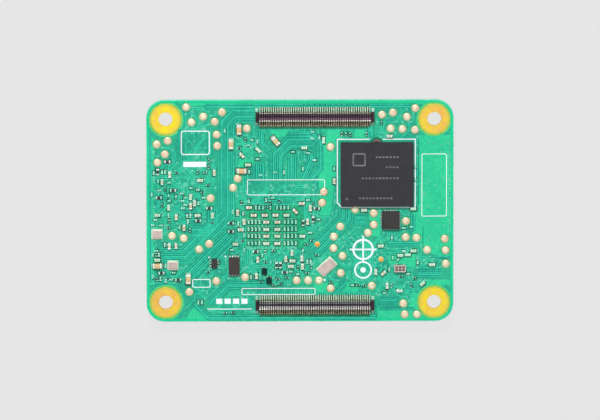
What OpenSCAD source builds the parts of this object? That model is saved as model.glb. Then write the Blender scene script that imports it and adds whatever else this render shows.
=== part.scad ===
// System on module: a small computer board that plugs into a carrier board.
// It lies with its connector side up and rests on the flat lid of its processor.
// The origin is at the middle of the board, on the plane of the lid. X runs along the board.

/* [Board] */
// Length of the circuit board
board_l = 55; // [54.5:0.1:58]
// Width of the circuit board
board_w = 40; // [39.8:0.1:43]
// Thickness of the circuit board
board_t = 1.2; // [1:0.05:1.6]
// Radius of the board's corners
corner_r = 3.3; // [2:0.1:4]
// Room under the board for the processor
under_room = 2.38; // [2.3:0.02:3]

/* [Mounting holes] */
// Clear diameter of a mounting hole
hole_d = 2.5; // [2.2:0.1:3]
// Outer diameter of the plated ring
ring_d = 5.5; // [4.5:0.05:6]
// Hole spacing along the board
hole_spacing_l = 48; // [46:0.5:48.5]
// Hole spacing across the board
hole_spacing_w = 33; // [32:0.5:33.5]

/* [Mating connectors] */
// Contacts in one row
pins_per_row = 50; // [20:2:50]
// Pitch of the contacts
pin_pitch = 0.4; // [0.35:0.01:0.4]
// Width of one contact
pin_w = 0.18; // [0.12:0.01:0.24]
// Height of a connector above the board
connector_h = 1.12; // [1:0.02:1.5]
// Distance from the connector's middle line to a wall crown
crown_y = 0.7; // [0.6:0.05:0.75]
// Width over the tails of the contacts
tail_span = 3.4; // [3:0.05:3.6]
// Connector centre along the board
connector_x = 2.65; // [2:0.05:3]
// Connector centres, either side of the board's middle line
connector_y = 16.95; // [16.8:0.05:17.2]

/* [Chips on the connector side] */
// Storage chip along the board
storage_l = 13; // [12:0.1:13.2]
// Storage chip across the board
storage_w = 11.5; // [10.5:0.1:11.7]
// Height of the storage chip over the board
storage_h = 1; // [0.8:0.05:1.2]
// Side of the square flat chip
flat_chip_side = 3.2; // [2.5:0.1:3.2]
// Diameter of a test pad
test_pad_d = 1.4; // [1:0.05:1.5]

/* [Chips on the component side] */
// Side of the processor's substrate
processor_side = 17; // [15:0.5:17.5]
// Side of the raised part of the processor's lid
lid_side = 14.6; // [12:0.2:15]
// Memory chip along the board
memory_l = 10; // [9:0.1:10.4]
// Memory chip across the board
memory_w = 14.5; // [12:0.1:14.8]
// Side of the input and output controller
controller_side = 11; // [9:0.1:11.2]
// Wireless shield can along the board
shield_l = 12; // [10:0.1:12.4]
// Wireless shield can across the board
shield_w = 9.6; // [8:0.1:10]
// Height of the wireless shield can
shield_h = 1.7; // [1.2:0.05:2]

/* [Hidden] */
$fn = 48;
top_z = under_room + board_t;
// Thickness of the copper and gold on the board
plating = 0.05;
// Overlap of a cutter past the face that it cuts
past = 0.2;

// Connector section: walls of plastic, with a thin contact strip bent over each crown
wall_half = 0.17;
strip_t = 0.06;
strip_r = wall_half + strip_t;
arc_z = connector_h - strip_r;
slot_floor_z = 0.34;
housing_lift = 0.05;
tail_t = 0.1;
detent_r = 0.05;
detent_z = 0.62;
row_l = (pins_per_row - 1) * pin_pitch;
slot_l = row_l + 0.8;
end_wall = 0.4;
end_chamfer = 0.12;
housing_half_w = crown_y + strip_r;
hold_down_w = 0.46;
hold_down_foot = 0.62;
hold_down_leg = 0.7;
key_r = 0.22;

// Chip passives: [length, width, height, plated band, solder toe]
chip_large = [1.6, 0.85, 0.75, 0.34, 0.3];
chip_medium = [1.0, 0.52, 0.5, 0.24, 0.13];
chip_small = [0.62, 0.32, 0.3, 0.17, 0.08];
flat_medium = [1.0, 0.5, 0.34, 0.22, 0.13];
flat_small = [0.62, 0.32, 0.24, 0.16, 0.08];
chip_gap = 0.03;
end_skin = 0.015;
solder_rise = 0.65;

// Leadless and leaded moulded chips: [length, width, height, diameter and inset of the first-lead dot]
flat_chip_size = [flat_chip_side, flat_chip_side, 0.85, 0.3, 0.4];
boot_chip_size = [1.95, 3.1, 0.6, 0.3, 0.35];
six_lead_size = [1, 1.7, 0.6, 0.16, 0.22];
power_chip_size = [5, 5, 0.9, 0.5, 0.6];
network_chip_size = [6, 6, 0.85, 0.5, 0.7];
dot_depth = 0.04;

// Solder toes of the leadless chips: [toes in a row, pitch, length]
flat_chip_toe = [5, 0.5, 0.26];
boot_chip_toe = [4, 0.5, 0.4];
power_chip_toe = [9, 0.5, 0.26];
network_chip_toe = [12, 0.4, 0.26];
toe_h = 0.2;
toe_share = 0.5;
heat_pad_share = 0.6;

// Bent leads: [width, reach, rise, thickness of the strip]
six_lead_form = [0.22, 0.42, 0.26, 0.1];
transistor_form = [0.22, 0.18, 0.2, 0.08];
filter_form = [0.4, 0.18, 0.34, 0.1];
lead_pitch = 0.5;

// Transistors and the line filter: [length, width, height]
transistor_size = [0.95, 1.1, 0.5];
transistor_lead_x = 0.28;
filter_size = [2.1, 1.25, 0.85];
filter_lead_x = 0.7;
filter_window = [0.46, 0.62];
filter_window_x = 0.36;
filter_window_depth = 0.2;

// Crystals: ceramic tray, notch at each corner, and stamped lid
crystal_base_t = 0.34;
crystal_notch_r = 0.16;
crystal_margin = 0.13;
crystal_flange_t = 0.08;
crystal_lid_t = 0.16;

// Lands on the board
test_pad_h = 0.09;
target_d = 1;

// Ball grids: [pitch, ball diameter, rows kept round the rim]
storage_balls = [0.8, 0.34, 2];
processor_ball_rows = [0.8, 0.5, 2];
memory_balls = [0.8, 0.36, 2];
controller_balls = [0.65, 0.38, 2];
storage_stand = 0.2;
processor_stand = 0.36;
memory_stand = 0.24;
controller_stand = 0.26;

// Layers of the moulded chips over their balls
storage_substrate_t = 0.22;
memory_substrate_t = 0.24;
memory_h = 1.0;
controller_substrate_t = 0.3;
controller_h = 1.25;
processor_substrate_t = 0.62;
lid_flange_t = 0.55;
lid_flange_side = processor_side - 1;
lid_corner_r = 1.2;
die_side = 8.4;
die_h = 0.72;
lid_z = processor_stand + processor_substrate_t;
lid_cavity_side = die_side + 2.4;
cap_corner_r = 0.15;
cap_dot_d = 0.6;
storage_dot_inset = 1.3;
cap_dot_inset = 1;
controller_step = 0.4;

// Inductors, as [length, width, height], and their wrapped terminals
inductor_size = [2.5, 2, 1.2];
terminal_w = 1.4;
terminal_t = 0.1;
terminal_h = 0.7;
terminal_toe = [0.25, 0.3];

// Wireless shield can and the chip inside it
sheet_t = 0.15;
shield_corner_r = 0.5;
slit_w = 0.25;
slit_share = 0.7;
vent_d = 0.7;
vent_pitch = 1.3;
vent_row_share = 0.32;
wireless_chip_size = [5, 5, 0.6];

// Antenna socket: insulator, turned shell and centre pin
antenna_base_side = 2.6;
antenna_base_t = 0.35;
antenna_pin_r = 0.25;
antenna_pin_h = 1.1;
antenna_pin_chamfer = [0.1, 0.15];
antenna_shell_r = 1;
antenna_shell_t = 0.18;
antenna_shell_h = 0.9;
antenna_groove = 0.06;

// Places on the connector side, as [x, y] or [x, y, turn]
storage_at = [13.75, 6.65];
flat_chip_at = [16.2, -1.65];
boot_chip_at = [-11.8, -9.9];
six_lead_at = [-15.35, -9.4];
line_filter_at = [17.9, -10.4];
transistors = [[-6.4, -10.85], [-5.55, -12.5]];
// Crystals, as [x, y, turn, length, width]
crystals = [[-25.6, -4.1, 0, 1.95, 1.8], [-22.75, -9.75, 0, 1.95, 1.7], [4.8, -10.05, 43, 3.4, 2.05]];
copper_targets = [[3.1, -6.05], [14.5, -8.8]];
test_pads_upper = [
    [-20.35, 18.7], [-17.3, 17], [-19.4, 16], [-15.25, 16.1], [-13.95, 17.8], [-14.9, 13.75],
    [-14.8, 11.75], [-23.65, 12.65], [-25.6, 12.05], [-24.15, 10.25], [-25.5, 8.75], [-9.5, 14.85],
    [5.45, 11.5], [14.65, 17.3], [16.6, 17.65], [19.1, 16.9], [20.6, 18.45], [16.2, 14.8],
    [18.3, 14.7], [20.55, 14.55]];
test_pads_middle = [
    [-16, 2.3], [-11.15, 5.85], [-12, 4.2], [4.25, 3.4], [3.95, 1.45], [9.85, 0.25], [13.2, -0.45],
    [13.2, -2.55], [12.15, -4], [7.2, -2.85], [6.05, -4.65], [6, -6.75], [7.6, -8.15],
    [7.3, -11.25], [18.95, -1.9], [18.9, -4.8], [20.85, -4.9], [25.9, -5.1], [22.75, -7.1],
    [26.05, -7.15], [26.1, -9.6], [-22.9, -4.45], [-20.8, -4.9], [-16.25, -5.9], [-18.05, -6.9]];
test_pads_lower = [
    [-9.85, -11.95], [-19.8, -14.6], [-15, -12.65], [-0.6, -12.55], [1.45, -12.55], [3.4, -12.55],
    [5.5, -14], [12.85, -13.55], [18.5, -16.8], [18.75, -18.75], [20.95, -18.75]];

// Decoupling capacitors in a regular block, under the processor
block_rows_y = [-2, -3.3, -4.55, -5.85];
block_middle_x = [-6.05, -4.05];
block_side_x = [-9.2, -8.55, -7.9, -7.25, -2.75, -2.1, -1.4, -0.75];
block_head_y = -0.75;
block_head_x = [-8.3, -6.3, -4.4, -2.4];
block_comb_y = 0.6;
block_comb_x = [-7.9, -7.3, -6.6, -5.3, -4.1, -3.4, -2.8, -2.1];

// Capacitors on the connector side, by zone of the board
large_capacitors = [
    [-10.9, 14.65, 90], [-12.35, 12.05, 90], [-10.45, 7.25, 0], [-25.55, -9.85, 0],
    [-20, -12.25, 90], [-4.35, 12.6, -50]];
medium_left = [
    [-23.3, 6.6, 90], [-15.35, 6.9, 90], [-24.65, 5.25, 90], [-17.85, 5.55, 0], [-19.55, 2.55, 90],
    [-19.55, 0.9, 90], [-18.85, 1.45, 90], [-23.5, 0.65, 90], [-25.5, -0.7, 0], [-22.15, -1.05, 90],
    [-18.3, -0.75, 0], [-15.65, -0.8, 90], [-20.75, -3, 90], [-23.4, -6.35, 90], [-22.2, -6.25, 90],
    [-25.55, -8.8, 0], [-11.15, -0.3, 90], [-10, -1.95, 90], [-10.6, -3.35, 0], [-11.55, -5.95, 0]];
medium_upper = [
    [-9.3, 8.35, 0], [-10.4, 10.05, -45], [-7.45, 11, -45], [4.2, 12.7, 90], [0.75, 11.4, 0],
    [16, 13.45, 0], [6.1, 5.35, 90], [11.45, 0.1, 0], [20.25, 0.35, 0], [1.85, 0.5, 90],
    [0.3, 1.35, 0], [-0.85, -0.05, -45], [-9.1, 0.65, 0], [1.35, -1.95, 90], [0.4, -4.55, 0]];
medium_lower = [
    [-7.55, -8.8, 90], [-2.55, -8.7, 90], [-1.45, -7.55, 90], [-1.35, -9, 0], [-1.65, -10, 0],
    [0.35, -8.55, 90], [0.45, -10.05, 90], [14.45, -6.35, 0], [20.3, -7.25, 0], [17.95, -8.05, 0],
    [19.3, -7.95, 0], [23.65, -9.75, 0], [14.95, -11.25, 45], [13.55, -11.05, 90],
    [15.6, -13.55, 90], [17.85, -14.45, 0], [21.95, -13.15, 45], [-7.8, -11.75, 90]];
small_left = [
    [-26.15, 6.85, 90], [-24.65, 7.05, 90], [-24.1, 7.1, 90], [-25.4, 5.35, 90], [-23.45, 5.15, 0],
    [-25.1, 3.75, 0], [-19.5, 4.15, 0], [-18.25, 3.85, 0], [-26.5, 3.05, 90], [-23.5, 2.8, 90],
    [-22.2, 2.65, 90], [-21.15, 3.2, 0], [-20.5, 2.45, 0], [-21.1, 1.85, 0], [-20.5, 1.15, 0],
    [-20.95, 0.55, 0], [-17.25, 2.45, 0], [-18.15, 1.4, 90], [-23.4, 1.85, 0], [-20.2, -0.85, 90],
    [-19.6, -0.85, 90], [-23.5, -0.85, 90], [-25.85, -1.55, 0], [-20.05, -1.85, 90],
    [-26.3, -2.5, 0], [-24.85, -2.55, 0], [-21.55, -2.95, 90], [-24.2, -6.05, 90],
    [-26.35, -7.85, 90], [-25.25, -7.85, 90], [-25.7, -7.15, 0], [-24.05, -9.85, 90],
    [-22.6, -11.1, 0], [-26.35, -11.85, 90], [-24.95, -12.25, 90], [-24, -12.55, 90],
    [-23.05, -12.35, 0], [-18.2, -16.5, 90], [-17.55, -16.5, 90]];
small_upper = [
    [-13.45, 14.45, 90], [-8.55, 12.75, 0], [-9.25, 11.85, 0], [-7.6, 12.5, 90], [-7.6, 9.35, 0],
    [-1.25, 10.65, 0], [2.25, 14.25, 0], [2.2, 13.05, 0], [3.45, 13.25, 90], [1.45, 10.4, 0],
    [0.5, 7.55, 90], [2.6, 9.15, 0], [6.1, 7.6, 90], [-9.1, 7.05, 90], [-2.85, 6.95, 90],
    [-4.4, 6.95, 0], [-7.05, 6.45, 0], [20.65, 8, 90], [20.65, 5.6, 90]];
small_middle = [
    [-9.15, 1.75, 90], [-6.05, 1.95, 90], [-4.85, 2.35, 0], [-12, -0.15, 90], [-10.15, -0.45, 90],
    [-11.05, -2.25, 90], [-10, -4.35, 90], [-12.2, -7, 0], [-9.95, -7.05, 90], [-6.75, -8.05, 90],
    [1.45, 1.95, 0], [3.3, -1.55, 0], [1.8, -3.95, 0], [0.5, -7.15, 90], [1.3, -9.15, 90],
    [1.9, -9.15, 90]];
small_lower = [
    [16.45, -4.85, 90], [18.55, -3.15, 0], [19.9, -2.95, 0], [18.6, -7.3, 0], [16.6, -8.5, 90],
    [17.55, -8.85, 45], [21.05, -9.35, 90], [16, -10.65, 90], [19.35, -11.45, 0], [9.35, -13.45, 0],
    [15.15, -14.85, 0], [-8.75, -11.95, 90], [-1.65, -10.95, 0], [-0.45, -11.45, 0]];

// Resistors on the connector side, by zone of the board
medium_resistors = [
    [-23.7, 8.9, 0], [-25.45, 7.05, 90], [-22.7, 3.75, 0], [-25.25, 2.45, 0], [-16.25, 0.55, 0],
    [-18.2, -1.7, 0], [-12.35, -2.15, 0], [-12.35, -3.65, 0], [-7.95, -7.3, 0], [3, 0.45, 0],
    [0.55, -2.2, 90], [2.35, -1.55, 90], [-2.75, -11.1, 0], [-24.8, -11.15, 0], [-21.8, -12.4, 0],
    [-4.2, -9.8, 90], [-3.5, -9.8, 90]];
small_resistors_left = [
    [-16.3, 9.15, 90], [-16.35, 7.95, 90], [-22.05, 6.85, 0], [-18.3, 7.1, 90], [-16.95, 6.9, 0],
    [-16.45, 4.65, 0], [-24.1, 4.05, 90], [-17.45, 3.35, 0], [-24.65, 1.05, 90],
    [-23.35, -1.85, 90], [-23.55, -3.05, 0], [-15.7, -2.05, 0], [-19.7, -3.45, 90],
    [-16.45, -10.95, 0], [-25.65, -12.25, 90], [-25.75, -7.85, 90], [-13.4, -18.4, 0],
    [-12.05, -18.35, 0]];
small_resistors_upper = [
    [-9.75, 12.85, 90], [-10.85, 11.35, 0], [7.45, 13.85, 90], [8.2, 13.75, 90], [8.95, 13.75, 90],
    [11.85, 13.85, 90], [14.55, 15.85, 90], [-10.45, 1.45, 90], [-3.65, 1.85, 90],
    [-5.35, 1.55, 90], [2.4, 1.25, 90], [-6, 0.7, 0]];
small_resistors_lower = [
    [-10.25, -5.3, 0], [-6.2, -7.45, 90], [-4.75, -7.2, 0], [-6.15, -9.25, 0], [-0.35, -10.3, 90],
    [1.15, -6.05, 0], [2.15, -5.35, 0], [3.05, -7.95, 0], [2.05, -10.05, 90], [1.3, -11.25, 0],
    [-6.95, -12.85, 0], [-4.65, -13.45, 0], [-3.95, -12.25, 0], [-3.55, -13.25, 0],
    [-2.3, -12.05, 0], [5.5, -12.95, 0], [10.35, -13.45, 0], [11.55, -13.55, 0], [16.4, -13.55, 90],
    [20.45, -12.25, 45], [19.95, -13.55, 90], [18.1, -11.85, 0]];

// Places on the component side, as seen through the board from above
processor_at = [-4.6, -2.9];
memory_at = [10.6, -3.6];
controller_at = [-20.4, 2.2];
power_chip_at = [-19.6, -8.6];
network_chip_at = [-9, 11.6];
shield_at = [13.4, 10.6];
antenna_at = [22.4, 9.8];
inductors = [[-24.7, -7.2, 90], [-24.7, -10.6, 90], [-19.6, -13.6, 0], [-15.4, -13.6, 0]];
status_lights = [[-18.6, -17.6, 0], [-16.4, -17.6, 0]];
under_medium_row_x = [-12.2:1.35:3];
under_medium_rows_y = [7, -12.9];
under_memory_column_y = [-10:1.6:3];
under_memory_x = 17;
under_large = [
    [-23.4, 9.6, 0], [-20.4, 9.6, 0], [-17.4, 9.6, 0], [-15.3, -8.2, 90], [-15.3, -5.4, 90],
    [0, 11, 90], [1.8, 11, 90], [3.6, 11, 90]];
under_small_x = [-6:1.2:12];
under_small_y = -14.6;

// Every place of the medium capacitors on the connector side
medium_places = concat(
    medium_left, medium_upper, medium_lower,
    [for (x = block_head_x) [x, block_head_y, 0]],
    [for (x = block_middle_x, y = block_rows_y) [x, y, 0]]);
// Every place of the small capacitors on the connector side
small_places = concat(
    small_left, small_upper, small_middle, small_lower,
    [for (x = block_comb_x) [x, block_comb_y, 90]],
    [for (x = block_side_x, y = block_rows_y) [x, y, 90]]);
// Every place of the small resistors on the connector side
small_resistors = concat(small_resistors_left, small_resistors_upper, small_resistors_lower);
// Medium capacitors on the component side, round the processor and the memory chip
under_medium = concat(
    [for (y = under_medium_rows_y, x = under_medium_row_x) [x, y, 90]],
    [for (y = under_memory_column_y) [under_memory_x, y, 0]]);
// Small capacitors on the component side, in a row beside the lower connector
under_small = [for (x = under_small_x) [x, under_small_y, 90]];

// Places its children on the connector face, turned about the upright axis
module on_top(at, turn = 0) {
    translate([at[0], at[1], top_z])
        rotate([0, 0, turn])
            children();
}

// Places its children on the component face, hanging downwards
module on_under(at, turn = 0) {
    translate([at[0], at[1], under_room])
        mirror([0, 0, 1])
            rotate([0, 0, turn])
                children();
}

// Puts its children at each of a list of places on the connector face
module each_on_top(places) {
    for (p = places)
        on_top(p, len(p) > 2 ? p[2] : 0)
            children();
}

// Puts its children at each of a list of places on the component face
module each_on_under(places) {
    for (p = places)
        on_under(p, len(p) > 2 ? p[2] : 0)
            children();
}

// Rectangle with true round corners
module rounded_outline(l, w, r) {
    square([l - 2 * r, w], center = true);
    square([l, w - 2 * r], center = true);
    for (sx = [-1, 1], sy = [-1, 1])
        translate([sx * (l / 2 - r), sy * (w / 2 - r)])
            circle(r);
}

// Flat block with round corners, standing on a given height
module plate(l, w, h, r, z = 0) {
    translate([0, 0, z])
        linear_extrude(h)
            rounded_outline(l, w, r);
}

// A section drawn as [across, up], run along X and centred on it
module run_along_x(l) {
    translate([-l / 2, 0, 0])
        rotate([90, 0, 90])
            linear_extrude(l)
                children();
}

// Ceramic part of a chip passive, between its plated ends
module chip_body(size) {
    translate([0, 0, chip_gap])
        linear_extrude(size[2] - chip_gap)
            square([size[0] - 2 * size[3], size[1]], center = true);
}

// Plated ends of a chip passive, each with the slope of its solder joint
module chip_ends(size) {
    half_l = size[0] / 2;
    top = size[2] + end_skin;
    for (side = [0, 1])
        mirror([side, 0, 0])
            rotate([90, 0, 0])
                linear_extrude(size[1] + 2 * end_skin, center = true)
                    polygon([
                        [half_l - size[3], 0],
                        [half_l + size[4], 0],
                        [half_l, solder_rise * size[2]],
                        [half_l, top],
                        [half_l - size[3], top]]);
}

// Squashed solder balls in the outer rows of a grid under a chip
module ball_rows(l, w, grid, stand) {
    nx = floor((l - 1) / grid[0]);
    ny = floor((w - 1) / grid[0]);
    intersection() {
        for (i = [0 : nx], j = [0 : ny])
            if (min(i, nx - i, j, ny - j) < grid[2])
                translate([(i - nx / 2) * grid[0], (j - ny / 2) * grid[0], stand / 2])
                    sphere(d = grid[1]);
        translate([-l / 2, -w / 2, 0])
            cube([l, w, stand]);
    }
}

// Sunk dot in the top of a chip, which marks its first lead
module first_lead_dot(l, w, h, d, inset) {
    translate([inset - l / 2, inset - w / 2, h - dot_depth])
        cylinder(d = d, h = past);
}

// Moulded chip, sawn square, just clear of the board and with a dot at its first lead
module moulded_body(size) {
    difference() {
        translate([0, 0, chip_gap])
            linear_extrude(size[2] - chip_gap)
                square([size[0], size[1]], center = true);
        first_lead_dot(size[0], size[1], size[2], size[3], size[4]);
    }
}

// Row of solder toes along one edge of a leadless chip
module toe_row(toe, edge) {
    count = toe[0];
    pitch = toe[1];
    toe_l = toe[2];
    for (i = [0 : count - 1])
        translate([(i - (count - 1) / 2) * pitch, 0, 0])
            run_along_x(toe_share * pitch)
                polygon([[edge, 0], [edge + toe_l, 0], [edge + 0.4 * toe_l, toe_h], [edge, toe_h]]);
}

// Heat pad in the middle of a leadless chip's underside
module heat_pad(l, w) {
    plate(heat_pad_share * l, heat_pad_share * w, chip_gap, 0.1);
}

// Toes on all four edges of a square chip, and the heat pad under it
module square_chip_toes(side, toe) {
    for (quarter = [0 : 3])
        rotate([0, 0, 90 * quarter])
            toe_row(toe, side / 2);
    heat_pad(side, side);
}

// Bent lead of a small moulded package, from the body's side to the board
module bent_lead(form, edge) {
    reach = form[1];
    rise = form[2];
    lead_t = form[3];
    run_along_x(form[0])
        polygon([
            [edge, rise],
            [edge + 0.3 * reach, rise],
            [edge + 0.45 * reach, lead_t],
            [edge + reach, lead_t],
            [edge + reach, 0],
            [edge + 0.3 * reach, 0],
            [edge + 0.15 * reach, rise - lead_t],
            [edge, rise - lead_t]]);
}

module circuit_board() {
    color("mediumseagreen")
        translate([0, 0, under_room])
            linear_extrude(board_t)
                difference() {
                    rounded_outline(board_l, board_w, corner_r);
                    for (sx = [-1, 1], sy = [-1, 1])
                        translate([sx * hole_spacing_l / 2, sy * hole_spacing_w / 2])
                            circle(d = hole_d + 2 * plating);
                }
}

module mounting_rings() {
    bore_r = hole_d / 2;
    color("gold")
        for (sx = [-1, 1], sy = [-1, 1])
            translate([sx * hole_spacing_l / 2, sy * hole_spacing_w / 2, under_room])
                rotate_extrude()
                    polygon([
                        [bore_r, -plating],
                        [ring_d / 2, -plating],
                        [ring_d / 2, 0],
                        [bore_r + plating, 0],
                        [bore_r + plating, board_t],
                        [ring_d / 2, board_t],
                        [ring_d / 2, board_t + plating],
                        [bore_r, board_t + plating]]);
}

// Round land with a low crown, turned from a section of [share of radius, share of height]
module pad_dome(d, h) {
    crown = [[0, 0], [1, 0], [1, 0.3], [0.85, 0.66], [0.55, 0.92], [0, 1]];
    rotate_extrude()
        polygon([for (p = crown) [p[0] * d / 2, p[1] * h]]);
}

module test_pads() {
    color("peachpuff")
        each_on_top(concat(test_pads_upper, test_pads_middle, test_pads_lower))
            pad_dome(test_pad_d, test_pad_h);
}

module copper_targets() {
    color("darkorange")
        each_on_top(copper_targets)
            cylinder(d = target_d, h = plating);
}

// Connector housing: a base, two walls with round crowns, and two chamfered end walls
module connector_housing() {
    end_x = slot_l / 2 + end_wall;
    difference() {
        union() {
            run_along_x(slot_l + end_wall) {
                translate([-crown_y - wall_half, housing_lift])
                    square([2 * (crown_y + wall_half), slot_floor_z - housing_lift]);
                for (side = [-1, 1])
                    translate([side * crown_y, 0]) {
                        translate([-wall_half, housing_lift])
                            square([2 * wall_half, arc_z - housing_lift]);
                        translate([0, arc_z])
                            circle(wall_half);
                    }
            }
            for (side = [0, 1])
                mirror([side, 0, 0])
                    rotate([90, 0, 0])
                        linear_extrude(2 * housing_half_w, center = true)
                            polygon([
                                [slot_l / 2, housing_lift],
                                [end_x, housing_lift],
                                [end_x, connector_h - end_chamfer],
                                [end_x - end_chamfer, connector_h],
                                [slot_l / 2 + end_chamfer, connector_h],
                                [slot_l / 2, connector_h - end_chamfer]]);
        }
        translate([-end_x, 0, slot_floor_z])
            cylinder(r = key_r, h = connector_h);
    }
}

// One contact: down inside the wall, over the crown, down outside it and out to a flat tail
module contact_section() {
    outer_y = crown_y + wall_half;
    intersection() {
        translate([crown_y, arc_z])
            difference() {
                circle(strip_r);
                circle(wall_half);
            }
        translate([0, arc_z])
            square([2 * crown_y, 2 * strip_r]);
    }
    translate([crown_y - strip_r, slot_floor_z])
        square([strip_t, arc_z - slot_floor_z]);
    translate([outer_y, 0])
        square([strip_t, arc_z]);
    translate([outer_y, 0])
        square([tail_span / 2 - outer_y, tail_t]);
    translate([outer_y + strip_t, detent_z])
        circle(detent_r);
}

module connector_contacts() {
    for (side = [0, 1])
        mirror([0, side, 0])
            for (i = [0 : pins_per_row - 1])
                translate([i * pin_pitch - row_l / 2, 0, 0])
                    run_along_x(pin_w)
                        contact_section();
}

// Four bent tabs that solder the ends of the housing to the board
module connector_hold_downs() {
    for (sx = [0, 1], sy = [0, 1])
        mirror([sx, 0, 0])
            mirror([0, sy, 0])
                translate([slot_l / 2 + end_wall / 2, 0, 0])
                    run_along_x(hold_down_w)
                        polygon([
                            [housing_half_w, 0],
                            [housing_half_w + hold_down_foot, 0],
                            [housing_half_w + hold_down_foot, tail_t],
                            [housing_half_w + 1.6 * tail_t, tail_t],
                            [housing_half_w + tail_t, 1.6 * tail_t],
                            [housing_half_w + tail_t, hold_down_leg],
                            [housing_half_w, hold_down_leg]]);
}

module upper_connector_housing() {
    color("dimgray")
        on_top([connector_x, connector_y])
            connector_housing();
}

module upper_connector_contacts() {
    color("tan")
        on_top([connector_x, connector_y])
            connector_contacts();
}

module upper_connector_hold_downs() {
    color("lightgray")
        on_top([connector_x, connector_y])
            connector_hold_downs();
}

module lower_connector_housing() {
    color("dimgray")
        on_top([connector_x, -connector_y])
            connector_housing();
}

module lower_connector_contacts() {
    color("tan")
        on_top([connector_x, -connector_y])
            connector_contacts();
}

module lower_connector_hold_downs() {
    color("lightgray")
        on_top([connector_x, -connector_y])
            connector_hold_downs();
}

module storage_chip_substrate() {
    color("darkslategray")
        on_top(storage_at)
            plate(storage_l, storage_w, storage_substrate_t, cap_corner_r, storage_stand);
}

module storage_chip_cap() {
    cap_z = storage_stand + storage_substrate_t;
    color([0.25, 0.25, 0.28])
        on_top(storage_at)
            difference() {
                plate(storage_l, storage_w, storage_h - cap_z, cap_corner_r, cap_z);
                first_lead_dot(storage_l, storage_w, storage_h, cap_dot_d, storage_dot_inset);
            }
}

module storage_chip_balls() {
    color("silver")
        on_top(storage_at)
            ball_rows(storage_l, storage_w, storage_balls, storage_stand);
}

module flat_chip() {
    color([0.26, 0.26, 0.26])
        on_top(flat_chip_at)
            moulded_body(flat_chip_size);
}

module flat_chip_toes() {
    color("silver")
        on_top(flat_chip_at)
            square_chip_toes(flat_chip_side, flat_chip_toe);
}

module boot_chip() {
    color([0.32, 0.3, 0.29])
        on_top(boot_chip_at)
            moulded_body(boot_chip_size);
}

module boot_chip_toes() {
    color("silver")
        on_top(boot_chip_at) {
            for (half = [0, 1])
                rotate([0, 0, 180 * half])
                    toe_row(boot_chip_toe, boot_chip_size[1] / 2);
            heat_pad(boot_chip_size[0], boot_chip_size[1]);
        }
}

module six_lead_chip() {
    color([0.2, 0.2, 0.2])
        on_top(six_lead_at)
            moulded_body(six_lead_size);
}

module six_lead_chip_leads() {
    color("silver")
        on_top(six_lead_at)
            for (quarter = [1, 3], i = [-1 : 1])
                rotate([0, 0, 90 * quarter])
                    translate([lead_pitch * i, 0, 0])
                        bent_lead(six_lead_form, six_lead_size[0] / 2);
}

module transistor_bodies() {
    color([0.15, 0.15, 0.16])
        each_on_top(transistors)
            plate(transistor_size[0], transistor_size[1], transistor_size[2] - chip_gap, 0.06, chip_gap);
}

module transistor_leads() {
    edge = transistor_size[1] / 2;
    color("silver")
        each_on_top(transistors) {
            for (sx = [-1, 1])
                translate([transistor_lead_x * sx, 0, 0])
                    bent_lead(transistor_form, edge);
            rotate([0, 0, 180])
                bent_lead(transistor_form, edge);
        }
}

// Ceramic tray of a crystal, with the quarter-round notch that each corner joint runs up
module crystal_bases() {
    color("wheat")
        for (c = crystals)
            on_top(c, c[2])
                linear_extrude(crystal_base_t)
                    difference() {
                        square([c[3], c[4]], center = true);
                        for (sx = [-1, 1], sy = [-1, 1])
                            translate([sx * c[3] / 2, sy * c[4] / 2])
                                circle(crystal_notch_r);
                    }
}

// Stamped lid of a crystal: a flange welded to the tray, and a raised middle
module crystal_lids() {
    inset = 2 * crystal_margin;
    color("silver")
        for (c = crystals)
            on_top(c, c[2]) {
                plate(c[3] - inset, c[4] - inset, crystal_flange_t, 0.2, crystal_base_t);
                plate(c[3] - 2 * inset, c[4] - 2 * inset, crystal_lid_t, 0.2, crystal_base_t);
            }
}

// Ferrite block with two windows, where the windings show
module line_filter() {
    color("sienna")
        on_top(line_filter_at)
            difference() {
                plate(filter_size[0], filter_size[1], filter_size[2] - chip_gap, 0.08, chip_gap);
                for (sx = [-1, 1])
                    translate([sx * filter_window_x, 0, filter_size[2] - filter_window_depth])
                        linear_extrude(filter_window_depth + past)
                            square(filter_window, center = true);
            }
}

module line_filter_terminals() {
    color("lightgray")
        on_top(line_filter_at)
            for (sx = [0, 1], sy = [0, 1])
                mirror([sx, 0, 0])
                    mirror([0, sy, 0])
                        translate([filter_lead_x, 0, 0])
                            bent_lead(filter_form, filter_size[1] / 2);
}

module large_capacitor_bodies() {
    color("burlywood") {
        each_on_top(large_capacitors)
            chip_body(chip_large);
        each_on_under(under_large)
            chip_body(chip_large);
    }
}

module large_capacitor_ends() {
    color("gainsboro") {
        each_on_top(large_capacitors)
            chip_ends(chip_large);
        each_on_under(under_large)
            chip_ends(chip_large);
    }
}

module medium_capacitor_bodies() {
    color("burlywood") {
        each_on_top(medium_places)
            chip_body(chip_medium);
        each_on_under(under_medium)
            chip_body(chip_medium);
    }
}

module medium_capacitor_ends() {
    color("gainsboro") {
        each_on_top(medium_places)
            chip_ends(chip_medium);
        each_on_under(under_medium)
            chip_ends(chip_medium);
    }
}

module small_capacitor_bodies() {
    color("tan") {
        each_on_top(small_places)
            chip_body(chip_small);
        each_on_under(under_small)
            chip_body(chip_small);
    }
}

module small_capacitor_ends() {
    color("gainsboro") {
        each_on_top(small_places)
            chip_ends(chip_small);
        each_on_under(under_small)
            chip_ends(chip_small);
    }
}

module medium_resistor_bodies() {
    color([0.12, 0.12, 0.13])
        each_on_top(medium_resistors)
            chip_body(flat_medium);
}

module medium_resistor_ends() {
    color("gainsboro")
        each_on_top(medium_resistors)
            chip_ends(flat_medium);
}

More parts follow.
